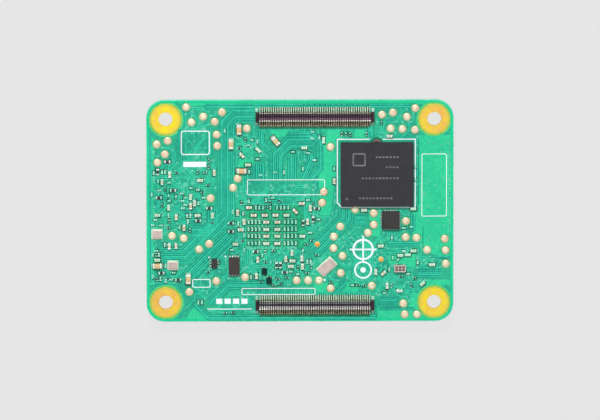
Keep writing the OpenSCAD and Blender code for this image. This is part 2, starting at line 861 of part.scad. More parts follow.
module small_resistor_bodies() {
    color([0.12, 0.12, 0.13])
        each_on_top(small_resistors)
            chip_body(flat_small);
}

module small_resistor_ends() {
    color("gainsboro")
        each_on_top(small_resistors)
            chip_ends(flat_small);
}

module processor_substrate() {
    color("darkgreen")
        on_under(processor_at)
            plate(processor_side, processor_side, processor_substrate_t, 0.3, processor_stand);
}

module processor_die() {
    color("slategray")
        on_under(processor_at)
            translate([-die_side / 2, -die_side / 2, lid_z])
                cube([die_side, die_side, die_h]);
}

// Stamped lid: a flange glued to the substrate, and a raised flat that sits on the die
module processor_lid() {
    color("silver")
        on_under(processor_at)
            difference() {
                union() {
                    plate(lid_flange_side, lid_flange_side, lid_flange_t, lid_corner_r, lid_z);
                    plate(lid_side, lid_side, under_room - lid_z, lid_corner_r, lid_z);
                }
                plate(lid_cavity_side, lid_cavity_side, die_h + past, lid_corner_r, lid_z - past);
            }
}

module processor_balls() {
    color("silver")
        on_under(processor_at)
            ball_rows(processor_side, processor_side, processor_ball_rows, processor_stand);
}

module memory_chip_substrate() {
    color("darkgreen")
        on_under(memory_at)
            plate(memory_l, memory_w, memory_substrate_t, cap_corner_r, memory_stand);
}

module memory_chip_cap() {
    cap_z = memory_stand + memory_substrate_t;
    color([0.2, 0.2, 0.22])
        on_under(memory_at)
            difference() {
                plate(memory_l, memory_w, memory_h - cap_z, cap_corner_r, cap_z);
                first_lead_dot(memory_l, memory_w, memory_h, cap_dot_d, cap_dot_inset);
            }
}

module memory_chip_balls() {
    color("silver")
        on_under(memory_at)
            ball_rows(memory_l, memory_w, memory_balls, memory_stand);
}

module controller_substrate() {
    color("darkgreen")
        on_under(controller_at)
            plate(controller_side, controller_side, controller_substrate_t, cap_corner_r, controller_stand);
}

// Moulded cap of the controller, stepped in from its substrate
module controller_cap() {
    cap_z = controller_stand + controller_substrate_t;
    cap_side = controller_side - 2 * controller_step;
    color([0.18, 0.18, 0.2])
        on_under(controller_at)
            difference() {
                plate(cap_side, cap_side, controller_h - cap_z, controller_step, cap_z);
                first_lead_dot(cap_side, cap_side, controller_h, cap_dot_d, cap_dot_inset);
            }
}

module controller_balls() {
    color("silver")
        on_under(controller_at)
            ball_rows(controller_side, controller_side, controller_balls, controller_stand);
}

module power_chip() {
    color([0.2, 0.2, 0.2])
        on_under(power_chip_at)
            moulded_body(power_chip_size);
}

module power_chip_toes() {
    color("silver")
        on_under(power_chip_at)
            square_chip_toes(power_chip_size[0], power_chip_toe);
}

// Cores pressed from metal powder round their windings
module inductor_cores() {
    color([0.3, 0.3, 0.31])
        each_on_under(inductors)
            plate(inductor_size[0], inductor_size[1], inductor_size[2] - chip_gap, 0.15, chip_gap);
}

// Terminal strips up the ends of each core, with the slope of their solder
module inductor_terminals() {
    edge = inductor_size[0] / 2;
    color("silver")
        each_on_under(inductors)
            for (quarter = [1, 3])
                rotate([0, 0, 90 * quarter])
                    run_along_x(terminal_w)
                        polygon([
                            [edge, 0],
                            [edge + terminal_toe[0], 0],
                            [edge + terminal_t, terminal_toe[1]],
                            [edge + terminal_t, terminal_h],
                            [edge, terminal_h]]);
}

module network_chip() {
    color([0.2, 0.2, 0.2])
        on_under(network_chip_at)
            moulded_body(network_chip_size);
}

module network_chip_toes() {
    color("silver")
        on_under(network_chip_at)
            square_chip_toes(network_chip_size[0], network_chip_toe);
}

// Drawn sheet can, open to the board, with a slit at each corner and a row of vents
module wireless_shield() {
    inner_l = shield_l - 2 * sheet_t;
    inner_w = shield_w - 2 * sheet_t;
    inner_r = shield_corner_r - sheet_t;
    color("silver")
        on_under(shield_at)
            difference() {
                plate(shield_l, shield_w, shield_h, shield_corner_r);
                plate(inner_l, inner_w, shield_h - sheet_t + past, inner_r, -past);
                for (sx = [-1, 1], sy = [-1, 1])
                    translate([sx * (shield_l / 2 - shield_corner_r), sy * shield_w / 2, -past])
                        linear_extrude(slit_share * shield_h)
                            square([slit_w, 1], center = true);
                for (i = [-3 : 3], sy = [-1, 1])
                    translate([vent_pitch * i, vent_row_share * sy * shield_w, shield_h - 2 * sheet_t])
                        cylinder(d = vent_d, h = 3 * sheet_t);
            }
}

module wireless_chip() {
    color([0.16, 0.16, 0.17])
        on_under(shield_at)
            plate(wireless_chip_size[0], wireless_chip_size[1], wireless_chip_size[2], 0.1);
}

module antenna_socket_base() {
    color("ivory")
        on_under(antenna_at)
            difference() {
                plate(antenna_base_side, antenna_base_side, antenna_base_t, 0.3);
                cylinder(r = antenna_pin_r, h = antenna_base_t);
            }
}

// Turned ring that the antenna plug clicks over, with a groove half way up
module antenna_socket_shell() {
    bore_r = antenna_shell_r - antenna_shell_t;
    groove_r = antenna_shell_r - antenna_groove;
    groove_z = antenna_shell_h / 2;
    color("gold")
        on_under(antenna_at)
            translate([0, 0, antenna_base_t])
                rotate_extrude()
                    polygon([
                        [bore_r, 0],
                        [antenna_shell_r, 0],
                        [antenna_shell_r, groove_z - 2 * antenna_groove],
                        [groove_r, groove_z - antenna_groove],
                        [groove_r, groove_z + antenna_groove],
                        [antenna_shell_r, groove_z + 2 * antenna_groove],
                        [antenna_shell_r, antenna_shell_h - antenna_groove],
                        [groove_r, antenna_shell_h],
                        [bore_r, antenna_shell_h]]);
}

module antenna_socket_pin() {
    tip_r = antenna_pin_r - antenna_pin_chamfer[0];
    shoulder_z = antenna_pin_h - antenna_pin_chamfer[1];
    color("gold")
        on_under(antenna_at)
            rotate_extrude()
                polygon([
                    [0, 0],
                    [antenna_pin_r, 0],
                    [antenna_pin_r, shoulder_z],
                    [tip_r, antenna_pin_h],
                    [0, antenna_pin_h]]);
}

module status_light_bodies() {
    color("honeydew")
        each_on_under(status_lights)
            chip_body(flat_medium);
}

module status_light_ends() {
    color("gainsboro")
        each_on_under(status_lights)
            chip_ends(flat_medium);
}

circuit_board();
mounting_rings();
test_pads();
copper_targets();
upper_connector_housing();
upper_connector_contacts();
upper_connector_hold_downs();
lower_connector_housing();
lower_connector_contacts();
lower_connector_hold_downs();
storage_chip_substrate();
storage_chip_cap();
storage_chip_balls();
flat_chip();
flat_chip_toes();
boot_chip();
boot_chip_toes();
six_lead_chip();
six_lead_chip_leads();
transistor_bodies();
transistor_leads();
crystal_bases();
crystal_lids();
line_filter();
line_filter_terminals();
large_capacitor_bodies();
large_capacitor_ends();
medium_capacitor_bodies();
medium_capacitor_ends();
small_capacitor_bodies();
small_capacitor_ends();
medium_resistor_bodies();
medium_resistor_ends();
small_resistor_bodies();
small_resistor_ends();
processor_substrate();
processor_die();
processor_lid();
processor_balls();
memory_chip_substrate();
memory_chip_cap();
memory_chip_balls();
controller_substrate();
controller_cap();
controller_balls();
power_chip();
power_chip_toes();
inductor_cores();
inductor_terminals();
network_chip();
network_chip_toes();
wireless_shield();
wireless_chip();
antenna_socket_base();
antenna_socket_shell();
antenna_socket_pin();
status_light_bodies();
status_light_ends();
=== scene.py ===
import math
import random

import bmesh
import bpy
from mathutils import Matrix, Vector
from mathutils.geometry import convex_hull_2d


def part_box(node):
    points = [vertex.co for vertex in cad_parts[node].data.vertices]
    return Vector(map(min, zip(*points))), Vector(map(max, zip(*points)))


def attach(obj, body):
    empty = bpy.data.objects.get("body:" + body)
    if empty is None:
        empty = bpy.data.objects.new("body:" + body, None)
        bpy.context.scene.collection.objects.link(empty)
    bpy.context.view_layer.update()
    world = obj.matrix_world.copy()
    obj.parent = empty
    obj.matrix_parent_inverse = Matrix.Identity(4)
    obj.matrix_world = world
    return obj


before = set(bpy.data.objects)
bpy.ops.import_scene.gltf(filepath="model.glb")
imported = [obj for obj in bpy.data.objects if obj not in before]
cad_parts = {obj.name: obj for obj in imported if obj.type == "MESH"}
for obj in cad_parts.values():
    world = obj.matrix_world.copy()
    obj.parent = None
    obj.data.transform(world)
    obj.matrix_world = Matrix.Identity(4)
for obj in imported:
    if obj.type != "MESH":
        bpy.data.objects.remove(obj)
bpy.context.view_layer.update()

# Table and studio
# The module lies on a wide sheet of pale acrylic that glows a little, so it has hardly a shadow.
# A soft lamp stands beyond the upper edge, and a large one hangs overhead for the metal to mirror.
MM = 0.001
scene = bpy.context.scene
scene.view_settings.view_transform = "Standard"


def add_node(tree, kind, sockets=None, **settings):
    """New shader node with its settings, and its input sockets set to values or linked to other sockets."""
    made = tree.nodes.new("ShaderNode" + kind)
    for key, value in settings.items():
        setattr(made, key, value)
    for key, value in (sockets or {}).items():
        socket = made.inputs[key]
        if isinstance(value, bpy.types.NodeSocket):
            tree.links.new(value, socket)
        else:
            socket.default_value = (*value, 1) if socket.type == "RGBA" else value
    return made


def mix_tones(share, first, second):
    """Colour from the first tone to the second, by a share from 0 to 1."""
    return add_node(share.id_data, "Mix", {0: share, 6: first, 7: second}, data_type="RGBA").outputs[2]


def feed(node, sources):
    """Links sources to the input sockets of a node, by name."""
    for key, source in sources.items():
        node.id_data.links.new(source, node.inputs[key])


def new_finish(name, constants):
    """New material, its node tree and its shader, with the shader's constant values set."""
    made = bpy.data.materials.new(name)
    made.use_nodes = True
    shader = made.node_tree.nodes["Principled BSDF"]
    for key, value in constants.items():
        shader.inputs[key].default_value = value
    return made, made.node_tree, shader


def new_object(name, mesh, layers):
    """Object of a mesh, with a finish for each of its layers."""
    data = bpy.data.meshes.new(name)
    mesh.to_mesh(data)
    mesh.free()
    for layer in layers:
        data.materials.append(layer)
    made = bpy.data.objects.new(name, data)
    scene.collection.objects.link(made)
    return made


def softbox(name, place, size, power):
    """Square area lamp at a place in metres, turned to the module."""
    lamp = bpy.data.lights.new(name, "AREA")
    lamp.size = size
    lamp.energy = power
    made = bpy.data.objects.new(name, lamp)
    made.location = place
    made.rotation_euler = (-Vector(place)).to_track_quat("-Z", "Y").to_euler()
    made.visible_camera = False
    scene.collection.objects.link(made)


def span(name):
    """Lowest and highest corner of a CAD node, in millimetres."""
    return [Vector(corner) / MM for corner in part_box(name)]


table_side = 12.0
table_glow = {
    "Emission Strength": 0.755, "Emission Color": (1, 1, 1, 1), "Roughness": 0.8, "Specular IOR Level": 0}
acrylic, acrylic_tree, acrylic_shader = new_finish("pale_acrylic", table_glow)
haze = add_node(acrylic_tree, "TexNoise", {"Scale": 3, "Detail": 2}).outputs["Fac"]
feed(acrylic_shader, {"Base Color": mix_tones(haze, (0.034,) * 3, (0.038,) * 3)})
table_sheet = bmesh.new()
bmesh.ops.create_grid(table_sheet, x_segments=1, y_segments=1, size=table_side / 2)
table = new_object("table", table_sheet, [acrylic])
table.location.z = -0.05 * MM

key_height = math.radians(55)
key_reach = 1.2
softbox("key_lamp", (-0.12, key_reach * math.cos(key_height), key_reach * math.sin(key_height)), 0.3, 11.6)
softbox("overhead_lamp", (0, -0.15, 1.6), 1.5, 6.2)
scene.world = bpy.data.worlds.new("studio")
scene.world.use_nodes = True
studio = scene.world.node_tree.nodes["Background"].inputs
studio["Color"].default_value = (1, 1, 1, 1)
studio["Strength"].default_value = 0.24

board_low, board_high = span("circuit_board")
sensor_width = 36.0
view_width = 107.3
camera_reach = 1500.0
camera_aim = Vector((0, 0.15, board_high.z))
camera_lean = Vector((-0.02, math.tan(math.radians(7.5)), 1)).normalized()
camera_right = Vector((0, 1, 0)).cross(camera_lean).normalized()
camera_turn = Matrix((camera_right, camera_lean.cross(camera_right), camera_lean)).transposed().to_4x4()
camera_data = bpy.data.cameras.new("camera")
camera_data.sensor_width = sensor_width
camera_data.lens = sensor_width * camera_reach / view_width
camera_data.clip_start = 0.01
camera = bpy.data.objects.new("camera", camera_data)
camera.matrix_world = Matrix.Translation((camera_aim + camera_lean * camera_reach) * MM) @ camera_turn
scene.collection.objects.link(camera)
scene.camera = camera

# Circuit board
# Ten layers of glass cloth and copper pressed with resin, routed to shape, with green mask on both sides.
# Where no copper lies under the mask it looks dark. The plies of the laminate show on the sawn sides.
ply_thickness = 0.15
board_round = 0.04


def screen(red, green, blue):
    """Linear colour of a screen colour given from 0 to 255."""
    parts = [value / 255 for value in (red, green, blue)]
    return [p / 12.92 if p <= 0.04045 else ((p + 0.055) / 1.055) ** 2.4 for p in parts]


def place_on(tree):
    """Socket that gives a point's place on the object, in metres."""
    return add_node(tree, "TexCoord").outputs["Object"]


def axes_of(vector):
    """Sockets that give a vector's parts along X, Y and Z."""
    return add_node(vector.id_data, "SeparateXYZ", {0: vector}).outputs


def noise(place, scale, detail):
    """Value that comes and goes over the surface in soft spots."""
    sockets = {"Vector": place, "Scale": scale, "Detail": detail}
    return add_node(place.id_data, "TexNoise", sockets).outputs["Fac"]


def arithmetic(operation, *values):
    """Result of an operation on one or two values."""
    return add_node(values[0].id_data, "Math", dict(enumerate(values)), operation=operation).outputs[0]


def remap(value, low, high, to_low=0, to_high=1):
    """Value carried from one range to another, and held within it."""
    ranges = {"From Min": low, "From Max": high, "To Min": to_low, "To Max": to_high}
    return add_node(value.id_data, "MapRange", {"Value": value, **ranges}).outputs[0]


def new_group(name, inputs, outputs):
    """Shader node group with named sockets: the group, the sockets that come in, and its output node."""
    made = bpy.data.node_groups.new(name, "ShaderNodeTree")
    for way, sockets in (("INPUT", inputs), ("OUTPUT", outputs)):
        for label, kind in sockets.items():
            made.interface.new_socket(label, in_out=way, socket_type="NodeSocket" + kind)
    return made, made.nodes.new("NodeGroupInput").outputs, made.nodes.new("NodeGroupOutput")


mask_tone, mask_in, mask_out = new_group(
    "mask_tone", {"Deep": "Color", "Bright": "Color"}, {"Colour": "Color", "Height": "Float"})
mask_place = place_on(mask_tone)
mask_cloud = noise(mask_place, 230, 3)
mask_inner = noise(mask_place, 1700, 1)
mask_share = remap(arithmetic("ADD", mask_cloud, mask_inner), 0.74, 1.26)
feed(mask_out, {"Colour": mix_tones(mask_share, mask_in["Deep"], mask_in["Bright"]),
                "Height": noise(mask_place, 2600, 2)})


def mask_finish(name, deep, bright, roughness=0.3):
    """Glossy green mask over what lies under it, from its deep to its bright tone."""
    made, tree, shader = new_finish(name, {"Specular IOR Level": 0.18})
    tone = add_node(tree, "Group", {"Deep": deep, "Bright": bright}, node_tree=mask_tone).outputs
    peel = add_node(tree, "Bump", {"Height": tone["Height"], "Strength": 0.25, "Distance": 0.01 * MM})
    gloss = remap(tone["Height"], 0, 1, roughness - 0.08, roughness + 0.12)
    feed(shader, {"Base Color": tone["Colour"], "Roughness": gloss, "Normal": peel.outputs[0]})
    return made


def opened(finish):
    """Node tree and shader of a finish, and the socket that its colour comes from."""
    shader = finish.node_tree.nodes["Principled BSDF"]
    return finish.node_tree, shader, shader.inputs["Base Color"].links[0].from_socket


def dress(names, finish, edge=None):
    """Gives CAD nodes a finish and, where an edge width is given, a small round on every sharp edge."""
    for name in names:
        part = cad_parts[name]
        for material_slot in part.material_slots:
            material_slot.material = finish
        if edge:
            part.modifiers.new("join", "WELD").merge_threshold = 0.0005 * MM
            flats = part.modifiers.new("flats", "DECIMATE")
            flats.decimate_type = "DISSOLVE"
            flats.angle_limit = math.radians(1)
            rounds = part.modifiers.new("rounds", "BEVEL")
            rounds.width = edge * MM
            rounds.segments = 2
            rounds.limit_method = "ANGLE"
            rounds.angle_limit = math.radians(35)
            part.modifiers.new("shading", "WEIGHTED_NORMAL")


board_finish = mask_finish("mask_over_laminate", (0.008, 0.33, 0.225), (0.026, 0.49, 0.27))
board_tree, board_shader, board_tone = opened(board_finish)
board_height = axes_of(place_on(board_tree))["Z"]
ply_turn = arithmetic("MULTIPLY", board_height, 2 * math.pi / (ply_thickness * MM))
ply_share = remap(arithmetic("SINE", ply_turn), -0.4, 0.9)
ply_tone = mix_tones(ply_share, screen(122, 214, 186), screen(178, 246, 224))
board_facing = axes_of(add_node(board_tree, "NewGeometry").outputs["Normal"])
board_flat = remap(arithmetic("ABSOLUTE", board_facing["Z"]), 0.75, 0.9)
feed(board_shader, {"Base Color": mix_tones(board_flat, ply_tone, board_tone)})
dress(["circuit_board"], board_finish, board_round)

# Copper pours under the mask
# Whole areas of foil left on the board for ground and screening: collars round the holes, bands at the
# edges, the antenna's side and plain patches between the chips. The mask looks brightest over them.
pour_rise = 0.01
under_pour_rise = 0.012
pour_step = 0.0004
collar_rise = 0.0185
collar_width = 0.5


def rounded_path(low, high, radius, steps=10):
    """Closed path round a rectangle with round corners."""
    corners = ((high[0] - radius, high[1] - radius, 0), (low[0] + radius, high[1] - radius, 90),
               (low[0] + radius, low[1] + radius, 180), (high[0] - radius, low[1] + radius, 270))
    points = []
    for x, y, start in corners:
        for k in range(steps + 1):
            turn = math.radians(start + 90 * k / steps)
            points.append((x + radius * math.cos(turn), y + radius * math.sin(turn)))
    return points


def circle_path(x, y, radius, steps=32):
    """Closed round path."""
    turns = [2 * math.pi * k / steps for k in range(steps)]
    return [(x + radius * math.cos(turn), y + radius * math.sin(turn)) for turn in turns]


def mitres(path, closed=False):
    """Vector across a path at each of its points, long enough to keep a ribbon's width round a bend."""
    count = len(path)
    sides = []
    for i in range(count if closed else count - 1):
        run = (path[(i + 1) % count] - path[i]).normalized()
        sides.append(Vector((-run.y, run.x)))
    before = [sides[-1] if closed else sides[0]] + sides
    after = sides + [sides[-1]]
    return [(a + b) / (1 + a.dot(b)) for a, b in list(zip(before, after))[:count]]


def ribbon(mesh, points, width, rise, base=board_high.z, up=1, closed=False, flank=0.012):
    """Low ribbon with sloped flanks along a path in millimetres, on the connector side or on another base."""
    path = [Vector(point) for point in points]
    section = ((-width / 2, 0), (flank - width / 2, rise), (width / 2 - flank, rise), (width / 2, 0))
    rows = []
    for point, across in zip(path, mitres(path, closed)):
        feet = [(point + across * aside, base + up * lift) for aside, lift in section]
        rows.append([mesh.verts.new((flat.x * MM, flat.y * MM, z * MM)) for flat, z in feet])
    for first, second in zip(rows, rows[1:] + (rows[:1] if closed else [])):
        for k in range(3):
            mesh.faces.new((second[k], second[k + 1], first[k + 1], first[k]))
    if not closed:
        mesh.faces.new(rows[0])
        mesh.faces.new(rows[-1])


def middle_of(outline):
    """Mean of an outline's points."""
    return sum(outline, Vector((0, 0))) / len(outline)


def points_at(mesh, path, height):
    """New points of a mesh along a path in millimetres, at one height."""
    return [mesh.verts.new((x * MM, y * MM, height * MM)) for x, y in path]


def band(mesh, first, second, layer=0):
    """Faces of one layer between two closed rows of points."""
    for k in range(len(first)):
        mesh.faces.new((first[k - 1], first[k], second[k], second[k - 1])).material_index = layer


def patch(mesh, points, rise, base=board_high.z, up=1, slope=0.012, layer=0):
    """Thin patch with sloped edges over an outline in millimetres, on the connector side or another base."""
    outline = [Vector(point) for point in points]
    middle = middle_of(outline)
    inner = [point - (point - middle).normalized() * slope for point in outline]
    top = points_at(mesh, inner, base + up * rise)
    band(mesh, points_at(mesh, outline, base), top, layer)
    mesh.faces.new(top).material_index = layer


def add_piece(name, mesh, slot, *layers):
    """Makes an object of a mesh and its finishes, and lets it ride on the module."""
    bmesh.ops.recalc_face_normals(mesh, faces=mesh.faces)
    piece = new_object(name, mesh, layers)
    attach(piece, "root")


board_faces = ((board_high.z, 1), (board_low.z, -1))
ring_radius = 2.75
hole_x, hole_y = (reach - ring_radius for reach in span("mounting_rings")[1].xy)
hole_places = [(side_x * hole_x, side_y * hole_y) for side_x in (-1, 1) for side_y in (-1, 1)]


def ring_collars(mesh, width, rise):
    """Ribbon round the outside of each mounting ring, on both faces of the board."""
    for x, y in hole_places:
        for base, up in board_faces:
            ribbon(mesh, circle_path(x, y, ring_radius + width / 2, 48), width, rise, base, up, closed=True)


pour_areas = [
    [(21.2, 13.6), (27.3, 13.6), (27.3, -8.2), (24.6, -8.2), (23.6, -7.9), (21.9, -6.4), (20.2, -5),
     (20.2, -0.4), (21.2, -0.2)],
    [(3.7, 13.4), (6.4, 13.4), (6.4, 6.2), (5.4, -0.8), (3.6, -0.8), (3.3, 6)],
    [(-22.3, 19.7), (22.3, 19.7), (22.3, 19.15), (-15, 19.15), (-20, 18.9)],
    [(-27.3, 13.6), (-26.2, 13.2), (-26.2, -13.2), (-27.3, -13.6)],
    [(-20.6, -19.7), (-15.2, -19.7), (-16.4, -18.6), (-18.6, -16.6)],
    [(13.9, -17.45), (18.4, -17.45), (18.4, -19.5), (13.9, -19.5)],
    [(22.6, -12.5), (26.9, -12.5), (26.9, -13.5), (22.6, -13.5)],
    [(12.3, -0.4), (14.3, -0.4), (14.3, -4.6), (12.9, -4.6)],
    [(-5.4, 14.6), (-2, 14.6), (-2.6, 13.4), (-4.6, 13.2)],
    [(0.2, 14.5), (2.6, 14.5), (2.6, 13), (1, 12.9)],
    [(4.7, 14.6), (7.4, 14.6), (7.2, 13.1), (4.9, 13.1)],
    [(9.8, 14.5), (12, 14.5), (12, 13.2), (9.8, 13.2)],
    [(2.6, -13), (10.4, -13), (10.4, -14.7), (2.6, -14.7)],
    [(-10.9, 9.4), (-8.2, 9.4), (-8.2, 7.9), (-10.9, 7.9)],
    [(19, -19.7), (22.4, -19.7), (21.6, -15), (20.2, -14.6), (19.6, -17.4)],
    [(15.9, -7.9), (20.7, -7.9), (20.7, -10.3), (18.7, -10.3), (18.7, -9.6), (15.9, -9.6)],
]
under_pours = [
    [(20.8, 13.2), (27.2, 13.2), (27.2, 3), (20.8, 3)],
    [(-27.2, 13.2), (-21.5, 13.2), (-21.5, 8.8), (-27.2, 8.8)],
    [(-12.6, -10.2), (5, -10.2), (5, -15.6), (-12.6, -15.6)],
    [(17.8, -14.2), (20.6, -14.2), (20.6, -19.4), (14.2, -19.4)],
]
pours = bmesh.new()
for i, outline in enumerate(pour_areas):
    patch(pours, outline, pour_rise + pour_step * i)
for i, outline in enumerate(under_pours):
    patch(pours, outline, under_pour_rise + pour_step * i, board_low.z, -1)
ring_collars(pours, collar_width, collar_rise)
add_piece("copper_pours", pours, "board_mask", mask_finish(
    "mask_over_pour", (0.016, 0.55, 0.285), (0.034, 0.67, 0.335)))

# Copper tracks under the mask
# Etched copper foil: bundles of fine tracks between connectors and chips, and single tracks that wander from
# part to part on a grid and turn by half right angles. The mask looks lighter over a track.
track_rise = 0.034
single_rise = 0.026
clearing_rise = 0.022
bundle_step = 0.0003
fine_track = 0.17
wide_track = 0.25
single_track = 0.16
tracks, singles, clearings = bmesh.new(), bmesh.new(), bmesh.new()


def bundle(points, count, pitch, base, up, lift):
    """Parallel tracks along a path in one cleared strip, every third one wide, all raised by a lift."""
    ribbon(clearings, points, count * pitch + 0.12, clearing_rise + lift, base, up)
    path = [Vector(point) for point in points]
    for i in range(count):
        wide = i % 3 == 1
        aside = (i - (count - 1) / 2) * pitch + (0.04 if wide else -0.02)
        beside = [point + across * aside for point, across in zip(path, mitres(path))]
        ribbon(tracks, beside, wide_track if wide else fine_track, track_rise + lift, base, up)


# Each bundle is a path in millimetres, a number of tracks and their pitch
connector_side_bundles = [
    ([(-8.2, 17.3), (-11.7, 17.3), (-13.2, 15.8), (-13.2, -0.6), (-20.6, -8), (-24.4, -8)], 8, 0.36),
    ([(-12.5, -4.4), (-13.6, -5.5), (-20.8, -12.7)], 6, 0.38),
    ([(-15.6, 0.4), (-15.6, -2.5), (-16.7, -3.6), (-19.4, -3.6)], 5, 0.36),
    ([(20.6, 18.95), (-16.8, 18.95)], 2, 0.32),
    ([(2.3, 12.4), (-1.9, 12.4), (-4.2, 10.1), (-4.2, 5.6)], 6, 0.38),
    ([(-6.9, 14.3), (-6.9, 12.3), (-5.4, 10.8)], 3, 0.36),
    ([(-0.2, 13.9), (2.1, 13.9), (3.6, 12.4), (3.6, 7.6), (1.9, 5.6)], 3, 0.36),
    ([(2.1, 10.4), (2.1, 9.2), (0.6, 5.8)], 4, 0.36),
    ([(-1.4, 9.7), (-1.4, 5.7)], 4, 0.4),
    ([(-7.4, 8.6), (-7.4, 5.7)], 5, 0.4),
    ([(-21.4, 14.8), (-21.4, 9.6)], 2, 0.36),
    ([(-16.2, 14.9), (-16.2, 10)], 2, 0.36),
    ([(-26.8, 13.4), (-26.8, -12.8)], 2, 0.3),
    ([(-5.8, -13.5), (-12.9, -13.5), (-16.1, -16.7)], 4, 0.36),
    ([(13.6, -19.25), (-16.3, -19.25), (-18.6, -16.95)], 3, 0.32),
    ([(8.3, 0.4), (8.3, -1.5), (2.4, -7.4)], 7, 0.38),
    ([(9.9, -1.8), (11.7, -1.8)], 6, 0.3),
    ([(14.2, -16.3), (17.3, -16.3)], 3, 0.36),
    ([(14.2, -17.75), (20.6, -17.75)], 1, 0.4),
    ([(21.2, -11.4), (25.4, -11.4)], 4, 0.36),
    ([(15.8, -6), (21.2, -6)], 2, 0.36),
    ([(20.2, -0.6), (20.2, -3.8)], 2, 0.4),
    ([(12.65, 15.2), (12.65, 13.4)], 3, 0.34),
    ([(8, -13), (5.9, -15.1)], 3, 0.36),
]
component_side_bundles = [
    ([(5, -2), (3.2, -2)], 12, 0.4),
    ([(-13.6, 2.2), (-14.6, 2.2)], 14, 0.4),
    ([(-13.8, 14.6), (-13.8, 8.6), (-12.6, 7.4)], 6, 0.38),
    ([(5.6, 14.5), (5.6, 6.4), (4.4, 5.2)], 8, 0.38),
    ([(20.4, 2.6), (20.4, -12.4), (18.2, -14.6)], 6, 0.38),
    ([(14, -16.8), (-12, -16.8), (-13.4, -15.4)], 6, 0.38),
    ([(24.6, 8), (24.6, -11)], 3, 0.4),
    ([(-26.6, 11), (-26.6, -12)], 2, 0.34),
]


def footprints(name):
    """Outline in millimetres of each solid of a CAD node, the board face it stands on and the way up."""
    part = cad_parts[name]
    mesh = bmesh.new()
    mesh.from_mesh(part.data)
    mesh.transform(part.matrix_world)
    bmesh.ops.remove_doubles(mesh, verts=mesh.verts, dist=0.0002 * MM)
    seen = set()
    found = []
    for first in mesh.verts:
        if first in seen:
            continue
        seen.add(first)
        solid = [first]
        for vert in solid:
            for edge in vert.link_edges:
                other = edge.other_vert(vert)
                if other not in seen:
                    seen.add(other)
                    solid.append(other)
        flat = [vert.co.xy / MM for vert in solid]
        outline = [flat[k] for k in convex_hull_2d(flat)]
        on_top = sum(vert.co.z for vert in solid) / len(solid) / MM > (board_low.z + board_high.z) / 2
        found.append((outline, *board_faces[0 if on_top else 1]))
    mesh.free()
    return found


def on_bundle(spot, bundles):
    """Whether a place lies on one of the bundles or right beside it."""
    for path, count, pitch in bundles:
        for start, end in zip(path, path[1:]):
            run = Vector(end) - Vector(start)
            share = max(0, min(1, (Vector(spot) - Vector(start)).dot(run) / run.length_squared))
            if (Vector(start) + run * share - Vector(spot)).length < count * pitch / 2 + 0.3:
                return True
    return False


def inside(spot, outline):
    """Whether a place lies within an outline."""
    crossings = 0
    for (ax, ay), (bx, by) in zip(outline, outline[1:] + outline[:1]):
        if (ay > spot[1]) != (by > spot[1]) and spot[0] < ax + (bx - ax) * (spot[1] - ay) / (by - ay):
            crossings += 1
    return crossings % 2 == 1


grid_pitch = 0.38
grid_margin = 1.0
board_sides = (board_high - board_low).xy
grid_columns, grid_rows = (int((side - 2 * grid_margin) / grid_pitch) + 1 for side in board_sides)
grid_ways = (1, 1 + 1j, 1j, -1 + 1j, -1, -1 - 1j, -1j, 1 - 1j)
bend_chance = 0.16
fewest_cells = 4


def grid_spot(cell):
    """Place in millimetres of a grid cell, which is a complex number of its column and its row."""
    x = board_low.x + grid_margin + grid_pitch * cell.real
    y = board_low.y + grid_margin + grid_pitch * cell.imag
    return x, y


def wander(chance, taken, tries, longest):
    """Tracks that start at free grid cells, keep straight or turn by half a right angle, and never cross."""
    found = []
    for _ in range(tries):
        cell = complex(chance.randrange(grid_columns), chance.randrange(grid_rows))
        heading = chance.randrange(8)
        cells = []
        while cell not in taken and len(cells) < longest:
            cells.append(cell)
            taken.add(cell)
            turns = [0, chance.choice((-1, 1))]
            turns.append(-turns[1])
            if chance.random() < bend_chance:
                turns[0], turns[1] = turns[1], turns[0]
            for turn in turns:
                step = grid_ways[(heading + turn) % 8]
                beside = [cell + step.real, cell + 1j * step.imag] if step.real and step.imag else []
                crossed = beside and all(corner in taken for corner in beside)
                if cell + step not in taken and not crossed:
                    heading = (heading + turn) % 8
                    break
            cell += grid_ways[heading]
        if len(cells) >= fewest_cells:
            bends = [b for a, b, c in zip(cells, cells[1:], cells[2:]) if b - a != c - b]
            found.append([grid_spot(stop) for stop in (cells[0], *bends, cells[-1])])
    return found


# No single track runs under the storage chip, the capacitor block or the connectors
covered_areas = [((6.5, 0.2), (20.8, 12.9)), ((-9.7, -6.4), (0.8, 0.8)),
                 ((-8.2, 13.6), (13.6, 19.2)), ((-8.2, -19.2), (13.6, -13.6))]
pad_places = [middle_of(outline) for outline, base, up in footprints("test_pads")]
upper_taken, under_taken = set(), set()
for column in range(-1, grid_columns + 1):
    for row in range(-1, grid_rows + 1):
        cell = complex(column, row)
        spot = grid_spot(cell)
        off_grid = not (0 <= column < grid_columns and 0 <= row < grid_rows)
        by_ring = any(math.dist(spot, hole) < ring_radius + 0.8 for hole in hole_places)
        by_pad = any(math.dist(spot, pad) < 1.0 for pad in pad_places)
        by_cover = any(left < spot[0] < right and bottom < spot[1] < top
                       for (left, bottom), (right, top) in covered_areas)
        on_pour = any(inside(spot, area) for area in pour_areas)
        if off_grid or by_ring or by_pad or by_cover or on_pour or on_bundle(spot, connector_side_bundles):
            upper_taken.add(cell)
        if off_grid or by_ring or on_bundle(spot, component_side_bundles):
            under_taken.add(cell)
upper_singles = wander(random.Random(11), upper_taken, tries=3600, longest=15)
under_singles = wander(random.Random(12), under_taken, tries=1500, longest=30)
for paths, (base, up) in zip((upper_singles, under_singles), board_faces):
    for path in paths:
        ribbon(singles, path, single_track, single_rise, base, up)
